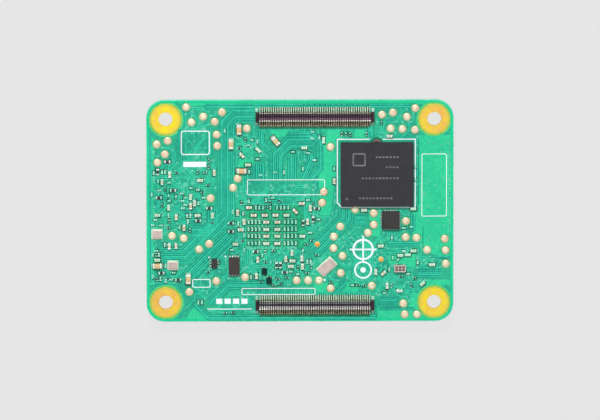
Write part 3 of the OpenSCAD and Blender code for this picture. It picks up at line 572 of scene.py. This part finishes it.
for bundles, (base, up) in zip((connector_side_bundles, component_side_bundles), board_faces):
    for i, (path, count, pitch) in enumerate(bundles):
        bundle(path, count, pitch, base, up, bundle_step * i)

# Narrow gaps part one pour from the next
gap_width = 0.16
pour_gaps = [[(22, -2.9), (22, -8.7)], [(15.2, -5.72), (21.9, -5.72)], [(14.2, -17.5), (20.2, -17.5)],
             [(12.6, 13.2), (12.6, 15.4)], [(-25.7, 12.4), (-25.7, -2.2)], [(21.2, 13), (21.2, 1)],
             [(3.1, 2.4), (3.1, 12.6)], [(23.2, -8.6), (26.4, -8.6)]]
for points in pour_gaps:
    ribbon(clearings, points, gap_width, clearing_rise + 0.001)

# Each contact of the two inner rows has a short track of its own, in three lengths by turns
contact_low, contact_high = span("upper_connector_contacts")
contact_count = 50
contact_width = 0.18
contact_pitch = (contact_high.x - contact_low.x - contact_width) / (contact_count - 1)
contact_xs = [contact_low.x + contact_width / 2 + i * contact_pitch for i in range(contact_count)]
stub_lengths = (0.5, 0.9, 1.3)
for i, x in enumerate(contact_xs):
    for inner_edge, way in ((contact_low.y, -1), (-contact_low.y, 1)):
        stub_end = inner_edge + way * stub_lengths[i % len(stub_lengths)]
        ribbon(tracks, [(x, inner_edge), (x, stub_end)], fine_track, track_rise)
for name, mesh, finish_name, deep, bright in (
        ("single_tracks", singles, "mask_over_track", (0.02, 0.55, 0.35), (0.045, 0.69, 0.44)),
        ("track_bundles", tracks, "mask_over_bundle", (0.014, 0.51, 0.335), (0.04, 0.66, 0.42)),
        ("track_clearings", clearings, "mask_in_clearing", (0.001, 0.23, 0.165), (0.006, 0.33, 0.215))):
    add_piece(name, mesh, "board_mask", mask_finish(finish_name, deep, bright))

# Vias
# Plated holes that join the layers. Most are closed over with mask, as a low ring with a dimple. A double
# row by the upper edge is open and dark. They stand in fences, between capacitors and at the ends of tracks.
via_profile = ((1, 0), (0.85, 0.038), (0.6, 0.036), (0.5, 0.012))
via_radii = (0.17, 0.2)
open_rise = 0.042
vias = bmesh.new()


def via(x, y, radius=via_radii[1], base=board_high.z, up=1):
    """Low mask-covered ring with a dimple, as three bands of faces round a middle."""
    rims = [points_at(vias, circle_path(x, y, share * radius, 10), base + up * lift)
            for share, lift in via_profile]
    for layer, outer, inner in zip((0, 0, 1), rims, rims[1:]):
        band(vias, outer, inner, layer)
    vias.faces.new(rims[-1]).material_index = 1


fence_count, fence_x, fence_top, fence_pitch = 26, 26.75, 12.2, 0.64
for i in range(fence_count):
    via(fence_x, fence_top - i * fence_pitch)
open_count, open_left, open_bottom, open_pitch, open_stagger = 26, 0.2, 18.95, 0.48, 0.16
for i in range(open_count):
    spot = circle_path(open_left + open_pitch * i, open_bottom + open_stagger * (i % 2), via_radii[0], 8)
    patch(vias, spot, open_rise, layer=1)
block_count, block_left, block_pitch = 14, -9.4, 0.66
for row_y in (-1.55, -2.8, -4.07, -5.35, -6.75):
    for i in range(block_count):
        via(block_left + block_pitch * i, row_y, via_radii[0])
scatter = random.Random(7)
for path in upper_singles:
    for end in (path[0], path[-1]):
        via(*end, scatter.choice(via_radii))
for path in under_singles:
    for end in (path[0], path[-1]):
        via(*end, base=board_low.z, up=-1)
loose_count, loose_radius, loose_gap = 34, 0.16, 1.1
for _ in range(loose_count):
    spot = (scatter.uniform(21.6, 27), scatter.uniform(-7.5, 13))
    if all(math.dist(spot, pad) > loose_gap for pad in pad_places):
        via(*spot, loose_radius)
via_ring = mask_finish("mask_over_via", (0.12, 0.66, 0.48), (0.34, 0.84, 0.66))
add_piece("vias", vias, "board_mask", via_ring, mask_finish(
    "mask_in_via", (0.002, 0.2, 0.12), (0.003, 0.28, 0.17)))

# Mask edge and land clearings
# The mask is thick and rich near the board's edge and stops short of it, where a pale line along the edge is
# a painted highlight.
# It is held back from every open land too, with dark resin in a groove round each pad and a yellow-green
# groove round each ring. Round each soldered part the groove is painted near black, partly clearance and
# partly painted shade.
corner_radius = 3.3
mask_edge_width, mask_edge_rise = 0.46, 0.026
edge_highlight_width, edge_highlight_rise = 0.06, 0.012


def edge_band(name, inset, width, rise, finish):
    """Band round both faces of the board, at an inset from its edge."""
    to_middle = inset + width / 2
    shrink = Vector((to_middle, to_middle))
    path = rounded_path(board_low.xy + shrink, board_high.xy - shrink, corner_radius - to_middle)
    mesh = bmesh.new()
    for base, up in board_faces:
        ribbon(mesh, path, width, rise, base, up, closed=True)
    add_piece(name, mesh, "board_mask", finish)


edge_band("mask_edge", board_round + edge_highlight_width, mask_edge_width, mask_edge_rise,
          mask_finish("mask_edge", (0.002, 0.55, 0.26), (0.006, 0.63, 0.3), 0.35))
# A thin pale band at the very edge of both faces, a painted highlight
edge_band("painted_edge_highlight", board_round, edge_highlight_width, edge_highlight_rise,
          mask_finish("pale_painted_highlight", screen(150, 232, 204), screen(206, 255, 240), 0.6))

ring_grooves = bmesh.new()
ring_collars(ring_grooves, width=0.32, rise=0.024)
add_piece("ring_grooves", ring_grooves, "board_mask",
          mask_finish("groove_by_gold", screen(98, 188, 86), screen(142, 208, 98), 0.4))

# The mask between the decoupling capacitors is painted darker, as shade between the rows of parts
block_painted_shade = bmesh.new()
patch(block_painted_shade, [(-9.9, 1), (-9.9, -6.6), (1, -6.6), (1, -1.2), (-0.4, 1)], rise=0.008)
add_piece("block_painted_shade", block_painted_shade, "board_mask",
          mask_finish("mask_painted_shade_in_block", (0.004, 0.3, 0.155), (0.024, 0.52, 0.25), 0.35))

# Round each soldered part and body a groove of mask clearance, painted near black as shade under and between
# the parts
land_grooves_and_shade = bmesh.new()
land_groove_reach = 0.17
land_groove_rise = 0.023
for name in ("large_capacitor_ends", "medium_capacitor_ends", "small_capacitor_ends", "medium_resistor_ends",
             "small_resistor_ends", "large_capacitor_bodies", "medium_capacitor_bodies", "transistor_leads",
             "boot_chip_toes", "six_lead_chip_leads"):
    for outline, base, up in footprints(name):
        middle = middle_of(outline)
        wider = [point + (point - middle).normalized() * land_groove_reach for point in outline]
        patch(land_grooves_and_shade, wider, land_groove_rise + 0.0003 * (len(land_grooves_and_shade.faces) % 7), base, up)
add_piece("land_grooves_and_shade", land_grooves_and_shade, "board_mask",
          mask_finish("groove_and_painted_shade_by_land", (0.001, 0.02, 0.008), (0.004, 0.13, 0.05), 0.5))

pad_grooves = bmesh.new()
pad_groove_radius, pad_groove_width, pad_groove_rise = 0.735, 0.25, 0.043
for x, y in pad_places:
    path = circle_path(x, y, pad_groove_radius, 24)
    ribbon(pad_grooves, path, pad_groove_width, pad_groove_rise, closed=True)
add_piece("pad_grooves", pad_grooves, "board_mask",
          mask_finish("groove_by_pad", (0.05, 0.31, 0.14), (0.13, 0.52, 0.24), 0.4))

# Printed lines
# White ink screened on the mask: the storage chip's outline with its first-corner cut, blank panels for
# writing on, dots at first leads, and plain register targets for lining up the print.
ink_rise = 0.05
ink = bmesh.new()


def ink_line(points, width=0.2, closed=False, over=0):
    """White printed line, raised a little where it goes over another."""
    ribbon(ink, points, width, ink_rise + over, closed=closed, flank=0.01)


frame_left, frame_right, frame_bottom, frame_top, frame_cut = 6.67, 20.61, 0.57, 12.86, 0.85
ink_line([(14.8, frame_top), (frame_right, frame_top), (frame_right, frame_bottom),
          (frame_left + frame_cut, frame_bottom), (frame_left, frame_bottom + frame_cut),
          (frame_left, frame_top), (12.5, frame_top)])
for low, high, radius, steps, width in (
        ((-21.2, 10.2), (-16.2, 14.4), 0.4, 4, 0.2), ((-19.2, -13.75), (-16.1, -12.35), 0.2, 3, 0.16),
        ((-9.4, 2.9), (4.4, 5.6), 0.25, 4, 0.14), ((21.8, -1), (26.2, 10.2), 0.25, 4, 0.14),
        ((-10.4, -15.1), (2.7, -14), 0.25, 4, 0.14)):
    ink_line(rounded_path(low, high, radius, steps), width, True)
bar_width = 0.95
ink_line([(-20.85, 8.42), (-16.75, 8.42)], bar_width)
for left in (-15, -13.5, -12, -10.5):
    ink_line([(left, -16.3), (left + 1.1, -16.3)], bar_width)
ink_line([(-16.6, -17.7), (-8.6, -17.7)], 0.16)
target_x, target_y, target_arm = 11.3, -7, 2.4
ink_line(circle_path(target_x, target_y, 1.75), 0.36, True)
ink_line([(target_x - target_arm, target_y), (target_x + target_arm, target_y)], 0.3, over=0.001)
ink_line([(target_x, target_y - target_arm), (target_x, target_y + target_arm)], 0.3, over=0.002)
eye_x, eye_y = 11.3, -10.7
ink_line(circle_path(eye_x, eye_y, 1.45), 0.3, True)
for x, y, radius in ((eye_x, eye_y, 0.5), (-16.25, -8.35, 0.16), (4.4, -12.5, 0.2), (-13.35, -8.2, 0.16)):
    patch(ink, circle_path(x, y, radius, 16), ink_rise)

grain, grain_in, grain_out = new_group(
    "grain", {"Scale": "Float", "Dark": "Color", "Light": "Color"}, {"Colour": "Color", "Height": "Float"})
grain_place = place_on(grain)
grain_fine = noise(grain_place, grain_in["Scale"], 4)
grain_slow = noise(grain_place, arithmetic("MULTIPLY", grain_in["Scale"], 0.11), 2)
grain_share = remap(arithmetic("ADD", grain_fine, grain_slow), 0.72, 1.28)
grain_tone = mix_tones(grain_share, grain_in["Dark"], grain_in["Light"])
feed(grain_out, {"Colour": grain_tone, "Height": grain_fine})


def grain_finish(name, dark, light, scale, roughness, bump, metal=0, specular=0.5):
    """Finish from dark to light in fine grains, with roughness as (least, most) and bump in millimetres."""
    made, tree, shader = new_finish(name, {"Metallic": metal, "Specular IOR Level": specular})
    grains = add_node(tree, "Group", {"Scale": scale, "Dark": dark, "Light": light}, node_tree=grain).outputs
    polish = remap(grains["Height"], 0.3, 0.7, *roughness)
    relief = add_node(tree, "Bump", {"Height": grains["Height"], "Strength": 0.6, "Distance": bump * MM})
    feed(shader, {"Base Color": grains["Colour"], "Roughness": polish, "Normal": relief.outputs[0]})
    return made


add_piece("printed_lines", ink, "board_print", grain_finish(
    "white_ink", screen(232, 246, 248), screen(248, 254, 255), 5200, (0.5, 0.75), 0.006))

# Plated mounting rings
# Copper rings with nickel and a thin layer of gold, plated through each corner hole for its screw and spacer.
# The gold is greener towards the outer rim.
rim_width = 0.6


def level_length(vector):
    """Length of a vector's level part."""
    level = add_node(vector.id_data, "VectorMath", {0: vector, 1: (1, 1, 0)}, operation="MULTIPLY")
    return add_node(vector.id_data, "VectorMath", {0: level.outputs[0]}, operation="LENGTH").outputs["Value"]


ring_gold = grain_finish(
    "ring_gold", (0.8, 0.46, 0.11), (0.88, 0.74, 0.03), 1000, (0.34, 0.5), 0.004, metal=1)
gold_tree, gold_shader, gold_tone = opened(ring_gold)
gold_corner = add_node(gold_tree, "VectorMath", {0: place_on(gold_tree)}, operation="ABSOLUTE")
gold_aside = add_node(gold_tree, "VectorMath", {0: gold_corner.outputs[0], 1: (hole_x * MM, hole_y * MM, 0)},
                      operation="SUBTRACT")
gold_reach = level_length(gold_aside.outputs[0])
gold_rim = remap(gold_reach, (ring_radius - rim_width) * MM, ring_radius * MM, 0, 0.9)
feed(gold_shader, {"Base Color": mix_tones(gold_rim, gold_tone, (0.6, 0.55, 0.1))})
dress(["mounting_rings"], ring_gold, 0.02)

# Test pads and copper targets
# Round lands for the tester's pins, tinned so that the solder stands slightly crowned, some with a prick.
# The two targets are bare copper, for the placing machine's camera.
crown_profile = ((0.6, -0.03), (0.54, 0.006), (0.4, 0.02), (0.2, 0.029))
crown_peak = 0.032
crown_steps = 24
prick_chance = 0.6
dress(["test_pads"], grain_finish(
    "tinned_pad", (0.86, 0.7, 0.48), (0.95, 0.84, 0.64), 2600, (0.5, 0.7), 0.006, metal=0.1))
pad_top = span("test_pads")[1].z
crowns = bmesh.new()
pricks = bmesh.new()
pricking = random.Random(5)
for x, y in pad_places:
    hoops = [points_at(crowns, circle_path(x, y, reach, crown_steps), pad_top + z)
             for reach, z in crown_profile]
    for outer, inner in zip(hoops, hoops[1:]):
        band(crowns, outer, inner)
    peak = points_at(crowns, [(x, y)], pad_top + crown_peak)
    for k in range(crown_steps):
        crowns.faces.new((hoops[-1][k - 1], hoops[-1][k], *peak))
    if pricking.random() < prick_chance:
        prick_x, prick_y = x + pricking.uniform(-0.05, 0.3), y + pricking.uniform(-0.2, 0.15)
        prick = circle_path(prick_x, prick_y, pricking.uniform(0.08, 0.13), 8)
        patch(pricks, prick, 0.012, pad_top + 0.022, slope=0.03)
for face in crowns.faces:
    face.smooth = True
crown_tin, crown_tree, crown_shader = new_finish("crowned_tin", {"Metallic": 0.35})
crown_tones = {"Scale": 1900, "Dark": (0.8, 0.52, 0.37), "Light": (0.86, 0.96, 0.7)}
crown_grain = add_node(crown_tree, "Group", crown_tones, node_tree=grain).outputs
# The sloped rim of each crown is painted a deeper peach, as shade on the slope
crown_slope = level_length(add_node(crown_tree, "NewGeometry").outputs["Normal"])
crown_rim_painted_shade = remap(crown_slope, 0.03, 0.24, 0, 0.8)
feed(crown_shader, {
    "Base Color": mix_tones(crown_rim_painted_shade, crown_grain["Colour"], (0.82, 0.54, 0.36)),
    "Roughness": remap(crown_grain["Height"], 0, 1, 0.3, 0.5)})
add_piece("pad_crowns", crowns, "pad_finish", crown_tin)
add_piece("pin_pricks", pricks, "pad_finish", grain_finish(
    "pricked_tin", (0.42, 0.14, 0.08), (0.68, 0.32, 0.19), 4200, (0.4, 0.6), 0.004, metal=0.3))
dress(["copper_targets"], grain_finish(
    "bare_copper", (0.76, 0.36, 0.08), (0.9, 0.55, 0.2), 3000, (0.35, 0.5), 0.006, metal=0.9), 0.015)

# Mating connectors
# Dark glass-filled plastic housings, moulded, with two rows of gilded bronze contacts stamped and bent over
# the walls. The tails and the corner tabs are soldered flat to the board.
dress(["upper_connector_housing", "lower_connector_housing"], grain_finish(
    "housing_plastic", (0.026, 0.013, 0.021), (0.044, 0.026, 0.037), 7000, (0.45, 0.65), 0.004,
    specular=0.35), 0.03)
housing_low, housing_high = span("upper_connector_housing")
housing_middle = (housing_low.y + housing_high.y) / 2

# Tails look duller than crowns. On each connector the lower row's crowns carry a painted highlight, the upper
# row's tails are painted lit and the lower row's tails painted in shade
contact_alloy = grain_finish(
    "contact_alloy", (0.16, 0.18, 0.12), (0.31, 0.33, 0.25), 2200, (0.3, 0.45), 0.003)
contact_tree, contact_shader, contact_tone = opened(contact_alloy)
contact_axes = axes_of(place_on(contact_tree))
tail_share = remap(contact_axes["Z"], (board_high.z + 0.2) * MM, (board_high.z + 0.12) * MM)
row_reach = arithmetic("ABSOLUTE", contact_axes["Y"])
row_aside = arithmetic("SUBTRACT", row_reach, housing_middle * MM)
row_way = arithmetic("MULTIPLY", row_aside, arithmetic("SIGN", contact_axes["Y"]))
lower_row = remap(row_way, 0.2 * MM, -0.2 * MM)
lower_crown_highlight_share = remap(lower_row, 0, 1, 0, 0.6)
crown_tone = mix_tones(lower_crown_highlight_share, contact_tone, (0.62, 0.57, 0.49))
tail_shine = remap(contact_tree.nodes["Group"].outputs["Height"], 0.36, 0.64)
upper_tails_painted_lit = mix_tones(tail_shine, (0.34, 0.6, 0.42), (0.7, 0.92, 0.7))
lower_tails_painted_shade = mix_tones(tail_shine, (0.17, 0.12, 0.07), (0.66, 0.58, 0.42))
tail_tone = mix_tones(lower_row, upper_tails_painted_lit, lower_tails_painted_shade)
feed(contact_shader, {"Base Color": mix_tones(tail_share, crown_tone, tail_tone),
                      "Metallic": remap(tail_share, 0, 1, 1, 0.3)})
dress(["upper_connector_contacts", "lower_connector_contacts"], contact_alloy)
tinned_steel = grain_finish(
    "tinned_steel", (0.28, 0.46, 0.37), (0.46, 0.68, 0.56), 3600, (0.4, 0.6), 0.01, metal=0.4)
dress(["upper_connector_hold_downs", "lower_connector_hold_downs"], tinned_steel, 0.02)


def loft(mesh, rows, layer=0):
    """Closed solid of one layer through rows of points in millimetres, each row an outline."""
    rims = [[mesh.verts.new(Vector(point) * MM) for point in row] for row in rows]
    for end in (rims[0], rims[-1]):
        mesh.faces.new(end).material_index = layer
    for first, second in zip(rims, rims[1:]):
        band(mesh, first, second, layer)


# A toe of solder at the end of every tail
toe_profile = ((-0.12, 0), (0.06, 0), (0.03, 0.036), (-0.12, 0.06))
toe_width = 0.2
toes = bmesh.new()
for x in contact_xs:
    for edge, way in ((contact_low.y, -1), (contact_high.y, 1), (-contact_low.y, 1), (-contact_high.y, -1)):
        loft(toes, [[(x + side, edge + way * out, board_high.z + z) for out, z in toe_profile]
                    for side in (-toe_width / 2, toe_width / 2)])

# Strips of resin and flux between the tails, a band of painted shadow below the lower row of tails, and
# spring leaves in the slots
strip_rise = 0.04
strip_left, strip_right = contact_xs[0] - 0.14, contact_xs[-1] + 0.14
tail_shadow_widths = {1: 0.4, -1: 0.46}
spring_profile = ((0, 1), (0.14, 0.86), (0.26, 0.7), (0.3, 0.56), (0.2, 0.42))
spring_width = 0.16
spring_thickness = 0.04
spring_wall = 0.47
land_strips = bmesh.new()
springs = bmesh.new()


def strip(near, far, rise, layer):
    """Strip of one layer along a whole row of contacts."""
    corners = [(strip_left, near), (strip_right, near), (strip_right, far), (strip_left, far)]
    patch(land_strips, corners, rise, layer=layer)


outer_end, inner_end = contact_high.y + 0.05, contact_low.y - 0.05
for flip in (1, -1):
    strip(flip * (housing_high.y - 0.15), flip * outer_end, strip_rise, 0)
    strip(flip * (housing_low.y + 0.15), flip * inner_end, strip_rise, 1 if flip == 1 else 0)
    tail_end = min(flip * outer_end, flip * inner_end)
    # Painted shadow on the mask below the lower row of tails
    strip(tail_end, tail_end - tail_shadow_widths[flip], strip_rise - 0.001, 2)
    for x in contact_xs:
        left, right = x - spring_width / 2, x + spring_width / 2
        for way in (1, -1):
            rows = []
            for inward, z in spring_profile:
                front, back = (flip * housing_middle + way * (spring_wall - inward + depth)
                               for depth in (0, spring_thickness))
                leaf = ((left, front), (right, front), (right, back), (left, back))
                rows.append([(*corner, board_high.z + z) for corner in leaf])
            loft(springs, rows, 0 if flip == 1 else 1)
bare_strip = grain_finish(
    "resin_between_lands", (0.012, 0.028, 0.012), (0.03, 0.06, 0.028), 5200, (0.5, 0.7), 0.004, specular=0.1)
flux_strip = grain_finish(
    "flux_between_lands", (0.03, 0.012, 0.006), (0.09, 0.036, 0.016), 3000, (0.5, 0.7), 0.004, specular=0.1)
add_piece("land_strips", land_strips, "board_mask", bare_strip, flux_strip, mask_finish(
    "painted_shadow_below_tails", (0.01, 0.11, 0.052), (0.018, 0.2, 0.1), 0.4))
# The same spring leaves are painted dim purple in the upper connector, as shade, and near white in the lower
# one, as light
spring_painted_shade = grain_finish(
    "spring_painted_shade", (0.27, 0.12, 0.21), (0.46, 0.26, 0.38), 3600, (0.4, 0.6), 0.004, metal=0.2)
add_piece("contact_springs", springs, "contact_alloy", spring_painted_shade, grain_finish(
    "spring_painted_light", (0.56, 0.64, 0.68), (0.86, 0.94, 0.98), 3600, (0.4, 0.6), 0.004, metal=0.2))
solder = grain_finish(
    "reflowed_solder", (0.52, 0.54, 0.51), (0.76, 0.78, 0.74), 4200, (0.35, 0.55), 0.012, metal=0.8)
add_piece("connector_solder", toes, "solder", solder)

# Storage chip
# A laminate substrate on solder balls, with a cap of black epoxy moulded over its dies. Faint dashes, a plain
# square and a dot at the first ball are burnt into the cap by laser. It half hides a pad at its upper side.
epoxy_cap = grain_finish("cap_epoxy", (0.006, 0.006, 0.011), (0.014, 0.014, 0.022), 9000, (0.42, 0.6), 0.004)
dress(["storage_chip_cap"], epoxy_cap, 0.04)
half_pad = bmesh.new()
half_pad_x, half_pad_y = 13.72, 12.15
for layer, (radius, rise) in enumerate(((1.06, 0.052), (0.8, 0.054), (0.52, 0.056))):
    patch(half_pad, circle_path(half_pad_x, half_pad_y, radius), rise, layer=layer)
# The pad is coloured dark grey round a dark red middle, in a dark green ring
add_piece("half_hidden_pad", half_pad, "pad_finish",
          mask_finish("dark_groove", (0.004, 0.09, 0.055), (0.01, 0.16, 0.1), 0.4),
          grain_finish("dark_grey_pad_ring", (0.12, 0.14, 0.11), (0.2, 0.22, 0.18), 4200, (0.5, 0.7), 0.004),
          grain_finish("dark_red_pad_middle", (0.1, 0.02, 0.03), (0.18, 0.05, 0.065), 4200, (0.3, 0.5), 0.004))
laminate = grain_finish(
    "substrate_laminate", (0.02, 0.1, 0.06), (0.05, 0.18, 0.11), 5000, (0.35, 0.55), 0.004)
dress(["storage_chip_substrate"], laminate, 0.02)
dress(["storage_chip_balls"], solder)
burn_rise = 0.003
dash_pitch, dash_length = 0.62, 0.4
cap_top = span("storage_chip_cap")[1].z
burns = bmesh.new()
for row_y, start_x, end_x in ((9.75, 13.5, 18.1), (7.95, 15.3, 18), (5.95, 11, 18.1), (2.35, 10.5, 17.2)):
    for i in range(int((end_x - start_x) / dash_pitch)):
        dash_x = start_x + dash_pitch * i
        ribbon(burns, [(dash_x, row_y), (dash_x + dash_length, row_y)], 0.3, burn_rise, cap_top, flank=0.002)
square_path = rounded_path((9.5, 8.25), (11.6, 10.35), 0.15, 2)
ribbon(burns, square_path, 0.28, burn_rise, cap_top, closed=True, flank=0.002)
patch(burns, circle_path(8.35, 2.25, 0.22, 16), burn_rise, cap_top, slope=0.003)
add_piece("laser_dashes", burns, "chip_mould", grain_finish(
    "burnt_epoxy", (0.09, 0.09, 0.1), (0.2, 0.2, 0.22), 8000, (0.6, 0.85), 0.003))

# Small moulded chips
# Leadless and leaded packages of the same black epoxy, sawn or moulded, soldered by their toes and leads.
chip_epoxy = grain_finish(
    "chip_epoxy", (0.012, 0.012, 0.012), (0.026, 0.025, 0.024), 9000, (0.45, 0.65), 0.005)
dress(["flat_chip", "six_lead_chip"], chip_epoxy, 0.03)
dress(["boot_chip"], grain_finish(
    "boot_chip_epoxy", (0.02, 0.014, 0.013), (0.042, 0.032, 0.03), 5200, (0.45, 0.65), 0.005), 0.03)
dress(["transistor_bodies"], grain_finish(
    "transistor_epoxy", (0.002, 0.02, 0.018), (0.006, 0.042, 0.038), 7000, (0.5, 0.7), 0.004,
    specular=0.12), 0.03)
dress(["flat_chip_toes", "boot_chip_toes"], solder, 0.02)
dress(["six_lead_chip_leads", "transistor_leads"], tinned_steel, 0.015)

# Crystals and line filter
# Crystals are ceramic trays, soldered at their corners and closed with a stamped metal lid that is welded
# on at a paler rim. The filter is a wound ferrite block with a pale glazed frame on it.
dress(["crystal_bases"], grain_finish(
    "crystal_ceramic", screen(204, 216, 190), screen(230, 238, 216), 4000, (0.5, 0.7), 0.006), 0.03)
crystal_lid = grain_finish(
    "crystal_lid", (0.38, 0.33, 0.3), (0.66, 0.53, 0.49), 900, (0.4, 0.55), 0.006, metal=0.75)
lid_tree, lid_shader, lid_tone = opened(crystal_lid)
lid_foot = span("crystal_lids")[0].z
lid_height = axes_of(place_on(lid_tree))["Z"]
weld_share = remap(lid_height, (lid_foot + 0.13) * MM, (lid_foot + 0.1) * MM)
feed(lid_shader, {"Base Color": mix_tones(weld_share, lid_tone, (0.6, 0.65, 0.54))})
dress(["crystal_lids"], crystal_lid, 0.015)
land_shape = ((0.03, 0.03), (-0.5, 0.03), (-0.5, -0.45), (0.03, -0.45))
crystal_land_rise = 0.07
crystal_lands = bmesh.new()
for outline, base, up in footprints("crystal_bases"):
    runs = [b - a for a, b in zip(outline, outline[1:] + outline[:1])]
    along = max(runs, key=lambda run: run.length).normalized()
    across = Vector((-along.y, along.x))
    reaches = [[point.dot(way) for point in outline] for way in (along, across)]
    for end, end_way in ((min(reaches[0]), -1), (max(reaches[0]), 1)):
        for side, side_way in ((min(reaches[1]), -1), (max(reaches[1]), 1)):
            corners = [along * (end + end_way * u) + across * (side + side_way * v) for u, v in land_shape]
            patch(crystal_lands, corners, crystal_land_rise, base, up, slope=0.05)
add_piece("crystal_lands", crystal_lands, "solder", solder)
dress(["line_filter"], grain_finish(
    "filter_ferrite", (0.13, 0.05, 0.045), (0.24, 0.11, 0.095), 6000, (0.45, 0.65), 0.006), 0.04)
dress(["line_filter_terminals"], tinned_steel, 0.02)
filter_low, filter_high = span("line_filter")
filter_middle = (filter_low + filter_high) / 2
frame_inset = Vector((0.09, 0.09))
bar_inset = 0.12
glaze = bmesh.new()
frame_path = rounded_path(filter_low.xy + frame_inset, filter_high.xy - frame_inset, 0.06, 2)
ribbon(glaze, frame_path, 0.15, 0.02, filter_high.z, closed=True)
for bar_x in (filter_middle.x - 0.33, filter_middle.x + 0.33):
    side_bar = [(bar_x, filter_low.y + bar_inset), (bar_x, filter_high.y - bar_inset)]
    ribbon(glaze, side_bar, 0.11, 0.018, filter_high.z)
cross_bar = [(filter_low.x + bar_inset, filter_middle.y), (filter_high.x - bar_inset, filter_middle.y)]
ribbon(glaze, cross_bar, 0.09, 0.016, filter_high.z)
add_piece("filter_frame", glaze, "filter_ferrite", grain_finish(
    "pale_glaze", screen(204, 196, 186), screen(222, 240, 228), 3600, (0.4, 0.6), 0.006))

# Chip capacitors
# Blocks of layered ceramic, fired, with tinned ends that the solder climbs. The smaller they are, the more
# green mask is painted into their ends and bodies as a reflection; the near-white grains on the ends are
# painted glints.


def tin_finish(name, dark, light):
    """Tin with solder on it, from dark to light."""
    return grain_finish(name, dark, light, 2400, (0.4, 0.6), 0.012, metal=0.3)


tinned_end = tin_finish("tinned_end", (0.6, 0.72, 0.6), (0.86, 0.93, 0.8))
painted_reflection_tin = tin_finish("tin_and_painted_mask_reflection", (0.18, 0.76, 0.55), (0.98, 1, 0.96))
deep_painted_reflection_tin = tin_finish("tin_and_deep_painted_mask_reflection", (0.05, 0.72, 0.5), (0.8, 1, 0.94))
for size, dark, light, spots, tin in (
        ("large", screen(234, 170, 124), screen(202, 198, 146), 900, tinned_end),
        ("medium", screen(214, 166, 138), screen(184, 232, 200), 700, painted_reflection_tin),
        ("small", screen(100, 194, 162), screen(142, 238, 206), 500, deep_painted_reflection_tin)):
    ceramic = grain_finish(size + "_ceramic", dark, light, spots, (0.35, 0.55), 0.006)
    dress([size + "_capacitor_bodies"], ceramic, 0.03)
    dress([size + "_capacitor_ends"], tin, 0.03)

# Chip resistors
# Flat alumina chips with a dark glaze over the film, and tinned ends.
dress(["medium_resistor_bodies", "small_resistor_bodies"], grain_finish(
    "resistor_glaze", (0.012, 0.018, 0.017), (0.032, 0.046, 0.042), 5200, (0.25, 0.4), 0.004), 0.02)
dress(["medium_resistor_ends"], painted_reflection_tin, 0.02)
# The small resistors' ends are painted a deeper green, as shade and reflection of the mask
dress(["small_resistor_ends"], tin_finish("tin_and_painted_shade", (0.02, 0.48, 0.33), (0.42, 1, 0.78)), 0.02)

# Processor, memory and controller, on the component side
# Laminate substrates on solder balls. The processor has a bare die under a stamped, nickel-plated lid that
# the module rests on; the other two have moulded epoxy caps.
dress(["processor_lid"], grain_finish(
    "lid_nickel", (0.52, 0.52, 0.5), (0.72, 0.72, 0.7), 2400, (0.3, 0.48), 0.006, metal=1), 0.08)
dress(["processor_die"], grain_finish(
    "ground_silicon", (0.1, 0.11, 0.13), (0.2, 0.21, 0.24), 3000, (0.15, 0.3), 0.002), 0.02)
dress(["processor_substrate", "memory_chip_substrate", "controller_substrate"], laminate, 0.03)
dress(["memory_chip_cap", "controller_cap"], epoxy_cap, 0.05)
dress(["processor_balls", "memory_chip_balls", "controller_balls"], solder)

# Power chip, inductors and network chip, on the component side
# Leadless epoxy chips, and inductors pressed from iron powder round their windings.
dress(["power_chip", "network_chip"], chip_epoxy, 0.03)
dress(["power_chip_toes", "network_chip_toes"], solder, 0.02)
dress(["inductor_cores"], grain_finish(
    "pressed_powder", (0.05, 0.05, 0.055), (0.13, 0.13, 0.14), 6000, (0.55, 0.8), 0.02), 0.06)
dress(["inductor_terminals"], tinned_steel, 0.02)

# Wireless shield and antenna socket, on the component side
# A drawn can of tinned sheet soldered over the radio chip, and a turned, gilded coaxial socket beside it.
dress(["wireless_shield"], grain_finish(
    "shield_sheet", (0.55, 0.55, 0.53), (0.78, 0.78, 0.75), 1500, (0.25, 0.4), 0.004, metal=1), 0.03)
dress(["wireless_chip"], chip_epoxy, 0.03)
dress(["antenna_socket_base"], grain_finish(
    "socket_plastic", (0.66, 0.63, 0.55), (0.8, 0.77, 0.7), 5000, (0.4, 0.6), 0.005), 0.03)
dress(["antenna_socket_shell", "antenna_socket_pin"], grain_finish(
    "socket_gold", (0.76, 0.54, 0.05), (0.92, 0.7, 0.14), 1400, (0.25, 0.4), 0.004, metal=1), 0.015)

# Status lights, on the component side
# Two small lamps cast in clear resin, with tinned ends.
dress(["status_light_bodies"], grain_finish(
    "lens_resin", screen(214, 226, 190), screen(236, 242, 220), 4000, (0.12, 0.25), 0.003), 0.03)
dress(["status_light_ends"], tinned_end, 0.02)
